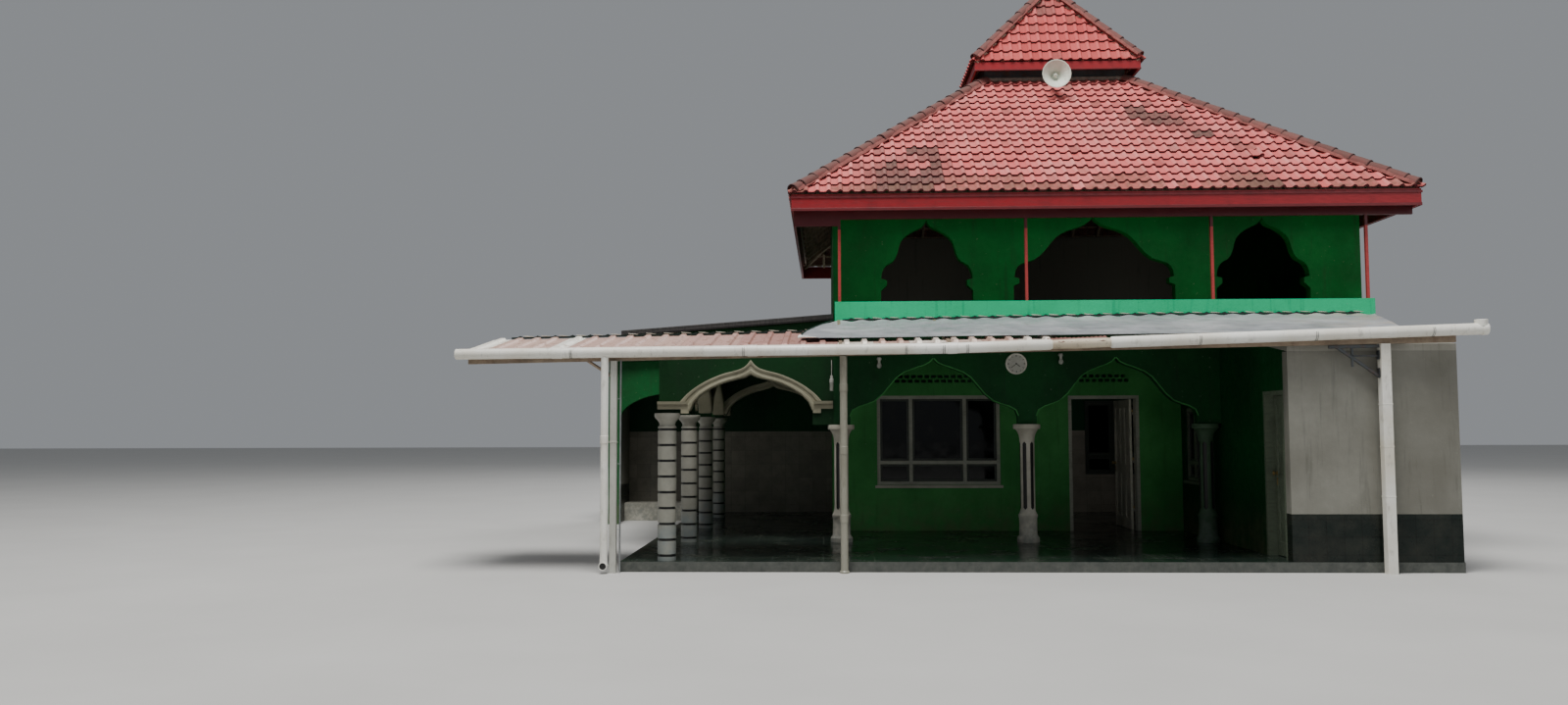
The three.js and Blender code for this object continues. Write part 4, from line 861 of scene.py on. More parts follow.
def resample(line):
    """Points at even distances along a line."""
    points = np.array(line)
    far = np.concatenate([[0], np.cumsum(np.hypot(*np.diff(points, axis=0).T))])
    wanted = np.linspace(0, far[-1], BAND_COUNT)
    return list(zip(np.interp(wanted, far, points[:, 0]), np.interp(wanted, far, points[:, 1])))


def porch_line(half):
    return resample(arch_side(PORCH_ARCH, half, PORCH_APEX, PORCH_FOOT))


def arch_band(form, place, half, width=1.0):
    """A moulded band round an arch, narrowed to a share of its width."""
    wide = half / PORCH_HALF
    pairs = list(zip(porch_line(half), resample(fill_between([(u * wide, z) for u, z in BAND_OUTER], 6))))
    for sign in (-1, 1):
        form.loft([
            [place(sign * (u0 + (u1 - u0) * width * share), z0 + (z1 - z0) * width * share, proud)
             for share, proud in BAND_SECTION]
            for (u0, z0), (u1, z1) in pairs
        ])


def soffit_liner(form, place, half):
    """A thin cream coat on the underside of an arch, through the wall."""
    line = porch_line(half)
    for sign in (-1, 1):
        rings = []
        for (u, z), (a, b) in zip(line, outward(line)):
            inner_u, inner_z = u - a * LINER_THICK, z - b * LINER_THICK
            ring = ((u, z, 0), (u, z, -WALL), (inner_u, inner_z, -WALL), (inner_u, inner_z, 0))
            rings.append([place(sign * u, z, proud) for u, z, proud in ring])
        form.loft(rings)


def dress_arch(form, place, half, ledges):
    arch_band(form, place, half)
    soffit_liner(form, place, half)
    for ends in ledges:
        form.loft([[place(u, z, proud) for proud, z in LEDGE] for u in ends])


def build_porch_mouldings():
    form = Form()
    front = lambda u, z, proud: Vector((PORCH_MIDDLE + u, WALL_FRONT - proud, z))
    dress_arch(form, front, PORCH_HALF, ((-0.86, -5.95 - PORCH_MIDDLE), (0.86, -3.56 - PORCH_MIDDLE)))
    for u in (-0.9, 0.9):
        form.beam(front(u, 1.86, 0.012), front(u, 1.93, 0.012), 0.11, 0.024, ALONG_Y)
    piece("porch_front_band", form, CREAM)

    form = Form()
    cross = lambda u, z, proud: Vector((CROSS_MIDDLE + u, CROSS_FACE - proud, z))
    dress_arch(form, cross, CROSS_HALF, ((-0.84, -0.875), (0.84, 1.0)))
    piece("porch_cross_band", form, CREAM)

    form = Form()
    lines = [COLUMN_LINE + PORCH_BAY * k for k in range(3)] + [WALL_BACK - WALL - 0.02 + SIDE_PIER]
    for start, end in zip(lines, lines[1:]):
        centre, half = (start + end) / 2, (end - start) / 2 - SIDE_PIER
        outer = lambda u, z, proud: Vector((PORCH_ROW - WALL / 2 - proud, centre + u, z))
        inner = lambda u, z, proud: Vector((PORCH_ROW + WALL / 2 + proud, centre + u, z))
        arch_band(form, outer, half, SIDE_BAND_WIDTH)
        arch_band(form, inner, half, SIDE_BAND_WIDTH)
        soffit_liner(form, outer, half)
    piece("porch_side_bands", form, CREAM)


ARCADE_COLUMNS = (-3.45, -0.94, 1.455)
ARCADE_APEX, ARCADE_FOOT, ARCADE_PIER = 2.59, 1.81, 0.125
EDGE_SECTION = ((0.0, 0.0), (0.0, 0.005), (0.007, 0.007), (0.014, 0.004), (0.014, 0.0))  # outward, proud


def build_arcade_trim():
    """A pale raised line along each veranda arch."""
    form = Form()
    for left, right in zip(ARCADE_COLUMNS, ARCADE_COLUMNS[1:]):
        middle = (left + right) / 2
        line = arch_side(OGEE, (right - left) / 2 - ARCADE_PIER, ARCADE_APEX, ARCADE_FOOT)
        for sign in (-1, 1):
            form.loft([
                [Vector((middle + sign * (u + a * far), WALL_FRONT - proud, z + b * far))
                 for far, proud in EDGE_SECTION]
                for (u, z), (a, b) in zip(line, outward(line))
            ])
    piece("arcade_edge_lines", form, GREEN_INNER)


build_porch_mouldings()
build_arcade_trim()


# Columns

FLARE = [  # the porch columns' capital: radius, and height over the last groove
    (0.106, 0.034), (0.094, 0.042), (0.092, 0.062), (0.1, 0.085), (0.118, 0.11), (0.139, 0.13),
]
PEDESTAL = [
    (0.148, FLOOR), (0.15, 0.135), (0.15, 0.175), (0.135, 0.195), (0.121, 0.22), (0.118, 0.36), (0.12, 0.44),
    (0.128, 0.455), (0.128, 0.485), (0.117, 0.5), (0.104, 0.53), (0.099, 0.555),
]
CAPITAL = [
    (0.099, 1.465), (0.1, 1.5), (0.104, 1.53), (0.114, 1.565), (0.13, 1.6), (0.15, 1.628), (0.156, 1.634),
]
ABACUS = [(0.17, 1.632), (0.181, 1.64), (0.182, 1.652), (0.182, 1.688), (0.175, 1.6995)]


def build_porch_columns():
    """Stout round columns: drums between black grooves, under a flared capital and a thin abacus."""
    top, radius, inner = 1.835, 0.109, 0.096
    grooves = [0.181 + 0.183 * k for k in range(9)]
    profile = [(radius, FLOOR)]
    for z in grooves:
        profile += [(radius, z - 0.0145), (inner, z - 0.011), (inner, z + 0.011), (radius, z + 0.0145)]
    profile += [(radius, grooves[-1] + 0.022)] + [(size, grooves[-1] + height) for size, height in FLARE]
    profile += [(0.146, top - 0.046), (0.15, top - 0.04), (0.15, top - 0.004), (0.145, top)]
    for index, letter in enumerate("abcd"):
        form = Form()
        centre = (PORCH_ROW, COLUMN_LINE + (index - 1) * PORCH_BAY, 0)
        form.lathe(profile, centre, 40, band=[0, 1, 1, 1] * len(grooves) + [0] * 11)
        piece(f"banded_column_{letter}", form, BANDED, f"porch_column_{letter}", sharp=40)


def build_arcade_columns():
    """Slender columns: a round pedestal, a shaft with six dark slots, a flared capital and a thin abacus."""
    low, high, ribs, reach, inner = 0.554, 1.466, 6, 0.099, 0.083
    y = COLUMN_LINE
    spreads = [(low, 30), (low + 0.012, 23), (low + 0.03, 15)]  # height, and half a rib's angle there
    spreads += [(high - 0.03, 15), (high - 0.012, 23), (high, 30)]
    for number, x in enumerate(ARCADE_COLUMNS, 1):
        form, core = Form(), Form()
        for profile in (PEDESTAL, CAPITAL, ABACUS):
            form.lathe(profile, (x, y, 0), 36)
        for k in range(ribs):
            middle = 2 * math.pi * k / ribs - math.pi / 2
            rings = []
            for z, spread in spreads:
                turns = [middle + math.radians(spread) * share for share in (-1, -0.5, 0, 0.5, 1)]
                section = [(reach, turn) for turn in turns] + [(inner, turns[-1]), (inner, turns[0])]
                rings.append([(x + r * math.cos(t), y + r * math.sin(t), z) for r, t in section])
            form.loft(rings, band=[0.0, 0.0, 0.0, 0.0, 1.0, 1.0, 1.0] * 5 + [0.0, 0.0])
        core.lathe([(0.086, low), (0.086, high)], (x, y, 0), 24)
        # the third column takes the darker plaster as painted shade
        material = COLUMN_PAINTED_SHADE if number == 3 else PALE
        piece(f"ribbed_column_{number}", form, material, f"arcade_column_{number}")
        piece(f"column_core_{number}", core, BLACK_LINE)


build_porch_columns()
build_arcade_columns()


# Canopy

RIB_PITCH, STRIP_PITCH = 0.228, 0.2096  # the second one for the ribs that show under the zinc sheet's edge
RIB = [(0.0, 0.0), (0.3, 0.0), (0.38, 1.0), (0.62, 1.0), (0.7, 0.0)]  # shares of the pitch and the height
PRESSED = 0.03  # length over which a rib runs out at the sheet's front edge
SHEET_EDGES = (-7.95, -7.715, -6.95, -6.735, -6.05, -5.38, -4.7, -4.03, -3.512)
WHITE_SHEETS = (0, 2)
SILVER_LEFT, SILVER_RIGHT = (-3.96, -3.56), (2.89, 3.52)  # x of the zinc sheet's ends, front and back
SILVER_BACK, SILVER_HIGH = 1.9097, 3.14
SILVER_EDGE = [  # x, then y and height of the front edge
    (-3.96, 0.2, 2.722), (-3.0, 0.2, 2.722), (-1.9, 0.19, 2.733), (-1.3, 0.1, 2.729), (-0.75, -0.05, 2.722),
    (0.36, -0.06, 2.728), (1.47, -0.06, 2.745), (2.25, -0.06, 2.772), (2.89, -0.06, 2.794),
]


def canopy_top(x, y):
    """The height of the sheets' plane, which rises to the right and to the back."""
    return 2.575 + (x + 7.85) * 0.0172 + (y + 0.06) * 0.176


def rib_stations(start, pitch, count):
    return [(start + (k + share) * pitch, high) for k in range(count) for share, high in RIB]


def ribbed_rows(x0, x1, front, depths, drop, rib_high, pitch, jitter):
    """Points of a ribbed sheet; its ribs are pressed flat along the front edge."""
    stations = [s for s in rib_stations(x0, pitch, math.ceil((x1 - x0) / pitch)) if s[0] <= x1] + [(x1, 0.0)]
    rows = []
    for y in (front - PRESSED, *depths):
        row = []
        for x, high in stations:
            sag = jitter * noise.noise(Vector((x * 1.7, y * 1.1, 5.0)))
            rise = high * rib_high if y >= front else 0.0
            row.append(Vector((x, y, canopy_top(x, y) - drop - rib_high + rise + sag)))
        rows.append(row)
    return rows


def bent_edge(x0, x1, pitch, y, height_at, name):
    """The sheets' upper end: a dark strip that waves with the ribs, a painted shadow under their edge, and a
    pale bent lip behind each valley, real bent edges painted pale as highlights.
    """
    gap, highlight_lips = Form(), Form()
    low, high = [], []
    count = int((x1 - x0) / pitch)
    for x in (x0 + k * pitch / 12 for k in range(count * 12 + 1)):
        crest = max(0.0, math.cos(2 * math.pi * (x - x0 - pitch / 2) / pitch)) ** 5
        low.append(Vector((x, y, height_at(x) - 0.02)))
        high.append(Vector((x, y, height_at(x) + 0.004 + 0.016 * crest)))
    gap.curtain([low, high], 0.004, ALONG_Y)
    for k in range(count):
        x = x0 + (k + 0.66 + chance.uniform(-0.03, 0.03)) * pitch
        z = height_at(x) + chance.uniform(0.004, 0.008)
        path = [(x, y + 0.006, z + 0.016), (x + 0.018, y + 0.004, z + 0.009), (x + 0.06, y, z + 0.006),
                (x + 0.13, y + 0.002, z + 0.003)]
        highlight_lips.tube(path, [0.002, 0.005, 0.006, 0.002], 8)
    # the dark strip is painted shadow, the pale lips painted highlight
    piece(f"{name}_gap", gap, PAINTED_SHADOW)
    piece(f"{name}_lips", highlight_lips, PALE)


def build_left_sheets():
    """Old corrugated sheets laid side by side, lapping at their edges, with two newer white ones."""
    form = Form()
    for k, (x0, x1) in enumerate(zip(SHEET_EDGES, SHEET_EDGES[1:])):
        tone = 1.0 if k in WHITE_SHEETS else chance.uniform(0.3, 0.72)
        front = -0.078 + chance.uniform(0.0, 0.012)
        depths = np.linspace(front, 1.398, 7)
        rows = ribbed_rows(x0, x1, front, depths, 0.003 * (k % 2), 0.024, RIB_PITCH, 0.003)
        form.curtain(rows, 0.0022, tone=tone)
    front, wide = -0.07, 2 * STRIP_PITCH
    for k, tone in enumerate((0.9, 0.62, 0.92, 0.8, 0.66, 0.9)):
        x0 = SHEET_EDGES[-1] + k * wide
        depths = np.linspace(front, 0.34, 4)
        rows = ribbed_rows(x0, x0 + wide - 0.002, front, depths, 0.001, 0.034, STRIP_PITCH, 0.002)
        form.curtain(rows, 0.0022, tone=tone)
    piece("canopy_ribbed_sheets", form, RUSTY, "canopy_sheet_left", sharp=25)
    bent_edge(-7.72, -3.75, RIB_PITCH, 1.4, lambda x: canopy_top(x, 1.4), "left_sheets")


def silver_back(x):
    """The height of the zinc sheet's back edge, which sinks a little towards its left end."""
    return SILVER_HIGH - 0.055 * min(1.0, max(0.0, (0.8 - x) / 4.3))


def silver_point(u, v):
    """A point of the zinc sheet: u along its front edge, v back from it, without dents."""
    x_front, x_back = (left + (right - left) * u for left, right in zip(SILVER_LEFT, SILVER_RIGHT))
    xs, *edges = zip(*SILVER_EDGE)
    y_front, z_front = (float(np.interp(x_front, xs, values)) for values in edges)
    ease = v ** (1 + 0.7 * max(0.0, x_front / SILVER_LEFT[0]))
    x = x_front + (x_back - x_front) * ease
    z_back = silver_back(x) - 0.012
    return Vector((x, y_front + (SILVER_BACK - y_front) * v, z_front + (z_back - z_front) * v))


def build_silver_sheet():
    """One long zinc sheet, smooth and dented in front, waved where it meets the parapet."""
    form, highlight_hem, edge_shadow = Form(), Form(), Form()
    columns, rows_count = 240, 14
    rows = []
    for v in (r / rows_count for r in range(rows_count + 1)):
        row = []
        for point in (silver_point(c / columns, v) for c in range(columns + 1)):
            x, y = point.x, point.y
            dent = 0.011 * noise.noise(Vector((x * 1.3, y * 1.6, 1.0)))
            dent += 0.004 * noise.noise(Vector((x * 4, y * 3, 2.0)))
            wave = 0.011 * math.sin(2 * math.pi * x / 0.27) * max(0.0, v - 0.55) / 0.45
            edge = 0.25 + 0.75 * min(1.0, v * 5)
            row.append(point + Vector((0, 0, dent * edge * (1 - 0.4 * v) + wave)))
        rows.append(row)
    form.curtain(rows, 0.0025)
    piece("canopy_zinc_sheet", form, ZINC, "canopy_sheet_right", sharp=60)
    # Painted highlight: a white tube round the sheet's rolled left front corner
    side = [silver_point(0.0, v) + Vector((-0.004, 0, 0.004)) for v in (0.0, 0.03, 0.08, 0.15)]
    folded = [side[0] + Vector((0.2, -0.004, 0)), side[0] + Vector((0.03, -0.004, 0.004))]
    highlight_hem.tube(folded + side, [0.004, 0.014, 0.02, 0.02, 0.016, 0.005])
    piece("canopy_sheet_highlight_hem", highlight_hem, PVC)
    # Painted shadow: a dark tube along the sheet's left edge
    beside = Vector((-0.003, 0, 0.006))
    edge_shadow.tube([silver_point(0.0, v) + beside for v in np.linspace(0.13, 1.0, 16)], 0.009, 8)
    piece("canopy_sheet_edge_shadow", edge_shadow, PAINTED_SHADOW)
    bent_edge(-3.43, 3.4, 0.233, SILVER_BACK - 0.012, lambda x: silver_back(x) + 0.004, "zinc_sheet")


def build_rear_roofs():
    """Ribbed sheets on the porch's and the wing's lean-to, with a board along their front edge."""
    high, low, x_right, x_left, wing_left = 3.205, 2.995, -3.555, -6.44, -7.6
    porch_end, wing_end = x_left, x_left - 0.001
    height = lambda x: high + (x - x_right) * (high - low) / (x_right - x_left)
    sheets, edges, purlins = Form(), Form(), Form()
    y0, y1, count = 2.25, 8.42, 30
    stations = rib_stations(y0, (y1 - y0) / count, count) + [(y1, 0.0)]
    spans = ((porch_end, -5.0, y0, 0.15), (-5.02, x_right, y0, 0.3), (wing_left, wing_end, 6.64, 0.2))
    for x0, x1, front, tone in spans:
        rows = [[Vector((x, y, height(x) - 0.022 * (1 - rise))) for y, rise in stations if y >= front]
                for x in np.linspace(x0, x1, 5)]
        sheets.curtain(rows, 0.004, tone=tone)
    for x0, x1, y in ((porch_end, x_right, 2.268), (wing_left, wing_end, 6.658)):
        z0, z1 = height(x0) - 0.044, height(x1) - 0.044
        edges.beam((x0, y, z0), (x1, y, z1), 0.032, 0.08, chamfer=0.006)
        edges.beam((x0, y - 0.018, z0 - 0.012), (x1, y - 0.018, z1 - 0.012), 0.006, 0.02, chamfer=0.002)
    for y in (2.9, 4.2, 5.5, 7.0, 8.0):
        left = porch_end if y < 6.7 else wing_left + 0.01
        purlins.beam((left, y, height(left) - 0.054), (x_right, y, height(x_right) - 0.054), 0.05, 0.058)
    piece("lean_to_edges", edges, DARK_BOARD)
    piece("lean_to_sheets", sheets, OLD_SHEET, "lean_to_roof", "wing_roof", sharp=25)
    piece("lean_to_boards", purlins, RAFTER_WOOD)


build_left_sheets()
build_silver_sheet()
build_rear_roofs()


# Pipes and posts

GUTTER_LINE = ((-7.96, -2.2, 3.76, 3.86), (2.523, 2.565, 2.752, 2.7551))  # x, and the height there
GUTTER_Y, GUTTER_RADIUS = -0.1453, 0.062
SPLIT_LEFT, SPLIT_RIGHT = -1.06, -0.41  # between them the gutter is a stained stretch
POST_Y, POST_FOOT, BEAM_DEEP = -0.078, 0.0003, 0.1302


def gutter_at(x):
    return Vector((x, GUTTER_Y, float(np.interp(x, *GUTTER_LINE))))


def gutter_run(form, *stations):
    """A round length along the gutter's line, from pairs of x and how much wider it is than the gutter."""
    form.tube([gutter_at(x) for x, _ in stations], [GUTTER_RADIUS + more for _, more in stations], 28)


def build_gutter():
    """Two lengths of plastic pipe with couplings; between them a stained stretch under a rusty flap."""
    form, stained, flap, clips = Form(), Form(), Form(), Form()
    gutter_run(form, (-7.958, -0.006), (-7.95, 0), (-2.32, 0), (-2.2, 0), (-2.08, 0), (SPLIT_LEFT - 0.03, 0),
               (SPLIT_LEFT, -0.014))
    gutter_run(form, (SPLIT_RIGHT, -0.012), (SPLIT_RIGHT + 0.02, 0.004), (3.76, 0.004), (3.765, 0))
    for x in (-6.77, -4.5, -2.2, 1.05, 2.75):
        gutter_run(form, (x - 0.06, 0.0005), (x - 0.055, 0.0045), (x + 0.055, 0.0045), (x + 0.06, 0.0005))
    gutter_run(form, (3.745, 0.004), (3.75, 0.01), (3.81, 0.01), (3.815, 0.002))
    form.tube([gutter_at(3.75) + Vector((0, 0, z)) for z in (0.03, 0.1, 0.105)], [0.068, 0.071, 0.066], 24)
    piece("gutter_lengths", form, PVC, "gutter_pipe")
    gutter_run(stained, (SPLIT_LEFT - 0.02, -0.012), (-0.8, -0.004), (SPLIT_RIGHT + 0.03, -0.008))
    piece("gutter_stained_stretch", stained, PVC_STAINED)
    rows = []
    for y, drop, torn in ((-0.05, 0.004, 0), (-0.1, 0.012, 0), (-0.15, 0.03, 0), (-0.195, 0.062, 0.016)):
        row = []
        for k in range(41):
            x = SPLIT_LEFT - 0.05 + k * (SPLIT_RIGHT - SPLIT_LEFT + 0.02) / 40
            wave = 0.005 * math.sin(k * 2.1) + 0.006 * noise.noise(Vector((x * 6, y * 9, 4)))
            ragged = torn * noise.noise(Vector((x * 11, 0, 9)))
            row.append(Vector((x, y + ragged, gutter_at(x).z + 0.082 - drop + wave)))
        rows.append(row)
    flap.curtain(rows, 0.002, (0, 0.3, -1), tone=0.1)
    piece("gutter_rusty_flap", flap, RUSTY, sharp=50)
    way, reach = (gutter_at(1) - gutter_at(0)).normalized(), GUTTER_RADIUS + 0.0065
    angles = [math.radians(150 + 240 * k / 14) for k in range(15)]
    for centre in (gutter_at(x) for x in (-2.73, -2.3, -2.03, -6.6, -4.6, 0.6, 1.9, 3.2)):
        ring = [centre + Vector((0, math.cos(angle) * reach, math.sin(angle) * reach)) for angle in angles]
        for offset in (-0.009, 0.009):
            clips.tube([p + way * offset for p in ring], 0.0024, 6)
        nail = Vector((centre.x, -0.08, centre.z + 0.05))
        clips.tube([ring[-1], ring[-1] + Vector((0, 0.02, 0.012)), nail], 0.003, 6)
    piece("gutter_clips", clips, STEEL)


def pipe_post(form, x, y, z0, z1, radius, joints):
    shaft = [(radius - 0.003, z0), (radius, z0 + 0.004), (radius, z1 - 0.002), (radius - 0.002, z1)]
    form.lathe(shaft, (x, y, 0), 28)
    wide = radius + 0.0045
    for z in joints:
        collar = [(radius, z - 0.045), (wide, z - 0.041), (wide, z + 0.041), (radius, z + 0.045)]
        form.lathe(collar, (x, y, 0), 28, capped=False)


def under_beam(x):
    """The height of a post's head, under the canopy's front beam."""
    return canopy_top(x, -0.08) - 0.0303 - BEAM_DEEP


def build_drain():
    """The pipe that leads down from the gutter, with an elbow and a short mouth at its foot."""
    drain, shaded_bore = Form(), Form()
    x, y, mouth = -6.21, GUTTER_Y, (-6.21, GUTTER_Y - 0.05, 0.088)
    pipe_post(drain, x, y, 0.12, gutter_at(x).z - 0.055, 0.0435, (1.53,))
    drain.tube([(x, y, 0.17), (x, y, 0.12), (x, y - 0.004, 0.09), (x, y - 0.012, 0.072)],
               [0.0445, 0.0455, 0.0455, 0.0445], 24)
    drain.tube([(x, y + 0.03, 0.088), mouth], 0.047, 28)
    lip = [(0.044, 0.0), (0.0485, 0.002), (0.0485, 0.016), (0.04, 0.018), (0.038, 0.006)]
    drain.lathe(lip, mouth, 28, capped=False, turn=TO_FRONT)
    piece("drain_pipe", drain, PVC, "downpipe")
    # Painted shade: a black plug inside the pipe's mouth for the dark of its hollow
    shaded_bore.lathe([(0.037, 0.0), (0.037, 0.012), (0.03, 0.013)], mouth, 24, turn=TO_FRONT)
    piece("drain_mouth_painted_shade", shaded_bore, BLACK_LINE)


BRACKET = [  # its bars: both ends out of the post's face and down from its top, width, depth, and depth's way
    (0.004, 0.0, -0.56, -0.008, 0.035, 0.035, ALONG_Z),
    (-0.47, -0.01, 0.004, -0.35, 0.03, 0.034, ALONG_Z),
    (-0.3, -0.01, -0.3, -0.235, 0.024, 0.024, ALONG_X),
    (0.004, -0.11, -0.33, -0.11, 0.024, 0.024, ALONG_Z),
    (-0.012, -0.15, -0.012, -0.05, 0.07, 0.008, ALONG_X),
    (-0.012, -0.35, -0.012, -0.25, 0.07, 0.008, ALONG_X),
]


def build_posts():
    """Square posts left and right, a round one between them, a conduit and a steel bracket."""
    left, conduit, middle, right, bracket = (Form() for _ in range(5))
    x, y = -6.115, POST_Y
    left.beam((x, y, POST_FOOT), (x, y, under_beam(-6.155)), 0.079, 0.079, ALONG_Y, 0.006)
    left.block(x - 0.043, x + 0.043, y - 0.043, y + 0.043, 1.49, 1.512)
    piece("post_left_square", left, PVC_GREY, "canopy_post_left")
    conduit.tube([(-6.035, -0.09, 0.02), (-6.035, -0.09, 1.3), (-6.033, -0.088, 2.45)], 0.011)
    for z in (0.5, 1.25, 2.0):
        conduit.tube([(-6.07, -0.1, z), (-6.03, -0.105, z)], 0.004, 6)
    piece("post_conduit", conduit, CONDUIT)
    pipe_post(middle, -3.45, y, POST_FOOT, under_beam(-3.49), 0.043, (0.62, 1.4, 2.12))
    middle.lathe([(0.056, POST_FOOT), (0.056, 0.02), (0.047, 0.03)], (-3.45, y, 0), 28)
    piece("post_middle_pipe", middle, PVC_DUSTY, "canopy_post_middle")
    x, top, band = 2.69, under_beam(2.634), 0.0572
    right.beam((x, y, POST_FOOT), (x, y, top), 0.11, 0.11, ALONG_Y, 0.006)
    for z in (0.86, 1.42, 1.9):
        right.block(x - band, x + band, y - band, y + band, z, z + 0.012, 0.003)
    piece("post_right_square", right, PVC, "canopy_post_right")
    face, level = x - 0.056, top - 0.025
    for x0, z0, x1, z1, wide, deep, up in BRACKET:
        bracket.beam((face + x0, y, level + z0), (face + x1, y, level + z1), wide, deep, up)
    piece("post_right_bracket", bracket, STEEL)


build_gutter()
build_drain()
build_posts()


# Windows and doors: each place function turns offset, depth and height into a point

WINDOW_LEFT, WINDOW_RIGHT, WINDOW_SILL, WINDOW_TOP, TRANSOM = -2.89, -1.045, 0.80, 2.14, 1.136
UPRIGHTS = (0.51, 1.317)  # of the hall's and the rear windows, from the left
BAR, SASH_BAR, REBATE = 0.05, 0.035, 0.03
REAR_WINDOWS = (-2.0, 2.0)


def sash(form, glass, place, u0, u1, z0, z1):
    """A casement inside one opening of a frame, with its pane."""
    gap, bar, deep = 0.0006, SASH_BAR, place(0, 1, 0) - place(0, 0, 0)
    u0, u1, z0, z1 = u0 + gap, u1 - gap, z0 + gap, z1 - gap
    for u in (u0 + bar / 2, u1 - bar / 2):
        form.beam(place(u, 0.04, z0), place(u, 0.04, z1), bar, 0.03, deep)
    for z in (z0 + bar / 2, z1 - bar / 2):
        form.beam(place(u0 + bar, 0.04, z), place(u1 - bar, 0.04, z), 0.03, bar)
    a0, a1, b0, b1 = u0 + bar * 0.8, u1 - bar * 0.8, z0 + bar * 0.8, z1 - bar * 0.8
    pane = [(a0, b0), (a1, b0), (a1, b1), (a0, b1)]
    glass.loft([[place(u, depth, z) for u, z in pane] for depth in (0.038, 0.043)])


def build_window(name, place, left, right, sill, top, uprights):
    form, glass = Form(), Form()
    lines = [left + BAR / 2] + [left + u for u in uprights] + [right - BAR / 2]
    for u0, u1 in zip(lines, lines[1:]):
        for z0, z1 in ((sill + BAR / 2, TRANSOM), (TRANSOM, top - BAR / 2)):
            sash(form, glass, place, u0 + BAR / 2, u1 - BAR / 2, z0 + BAR / 2, z1 - BAR / 2)
    piece(f"{name}_sashes", form, SASH)
    piece(f"{name}_panes", glass, GLASS)


def build_windows():
    sills, side_sill = Form(), Form()
    wide, size = (WINDOW_RIGHT - WINDOW_LEFT) / 2, (WINDOW_SILL, WINDOW_TOP, UPRIGHTS)
    z0, z1 = WINDOW_SILL - 0.045, WINDOW_SILL - 0.004
    front = lambda u, depth, z: Vector((u, WINDOW_FRONT + REBATE + depth, z))
    rear = lambda u, depth, z: Vector((u, WALL_BACK - REBATE - depth, z))
    side = lambda u, depth, z: Vector((SIDE_FACE + REBATE + depth, u, z))
    build_window("hall_window", front, WINDOW_LEFT, WINDOW_RIGHT, *size)
    sills.block(WINDOW_LEFT - 0.03, WINDOW_RIGHT + 0.03, WINDOW_FRONT - 0.035, WINDOW_FRONT - 0.0005, z0, z1)
    for number, middle in enumerate(REAR_WINDOWS, 1):
        build_window(f"rear_window_{number}", rear, middle - wide, middle + wide, *size)
        sills.block(middle - wide - 0.03, middle + wide + 0.03, WALL_BACK + 0.0005, WALL_BACK + 0.05, z0, z1)
    build_window("side_window", side, 3.25, 3.95, 0.88, 1.93, (0.35,))
    piece("window_sills", sills, PALE)
    side_sill.block(SIDE_FACE - 0.03, SIDE_FACE - 0.0005, 3.22, 3.98, 0.835, 0.876)
    piece("side_window_sill", side_sill, SIDE_DOOR_PAINT)


LEAF_THICK, LEAF_SHY = 0.035, 0.0335  # thickness, and from the pin to the leaf's middle plane
LEAF_BOTTOM, STILE, MUNTIN = 0.1255, 0.085, 0.06
PANEL_SECTION = [  # inset from the opening, and depth
    (0.05, -0.014), (0.02, -0.006), (-0.004, -0.006), (-0.004, 0.006), (0.02, 0.006), (0.05, 0.014),
]
KNOB = [
    (0.026, 0.0), (0.026, 0.005), (0.011, 0.007), (0.01, 0.026), (0.022, 0.033), (0.027, 0.044),
    (0.02, 0.053), (0.006, 0.056),
]
KNUCKLES = (0.4403, 1.1603, 1.8803)


def leaf_panel(form, place, u0, u1, z0, z1):
    """A field raised on both faces, let into the stiles and rails round it."""
    rings = []
    for inset, depth in PANEL_SECTION:
        a0, a1, b0, b1 = u0 + inset, u1 - inset, z0 + inset, z1 - inset
        rings.append([place(u, depth, z) for u, z in ((a0, b0), (a1, b0), (a1, b1), (a0, b1))])
    form.loft(rings)


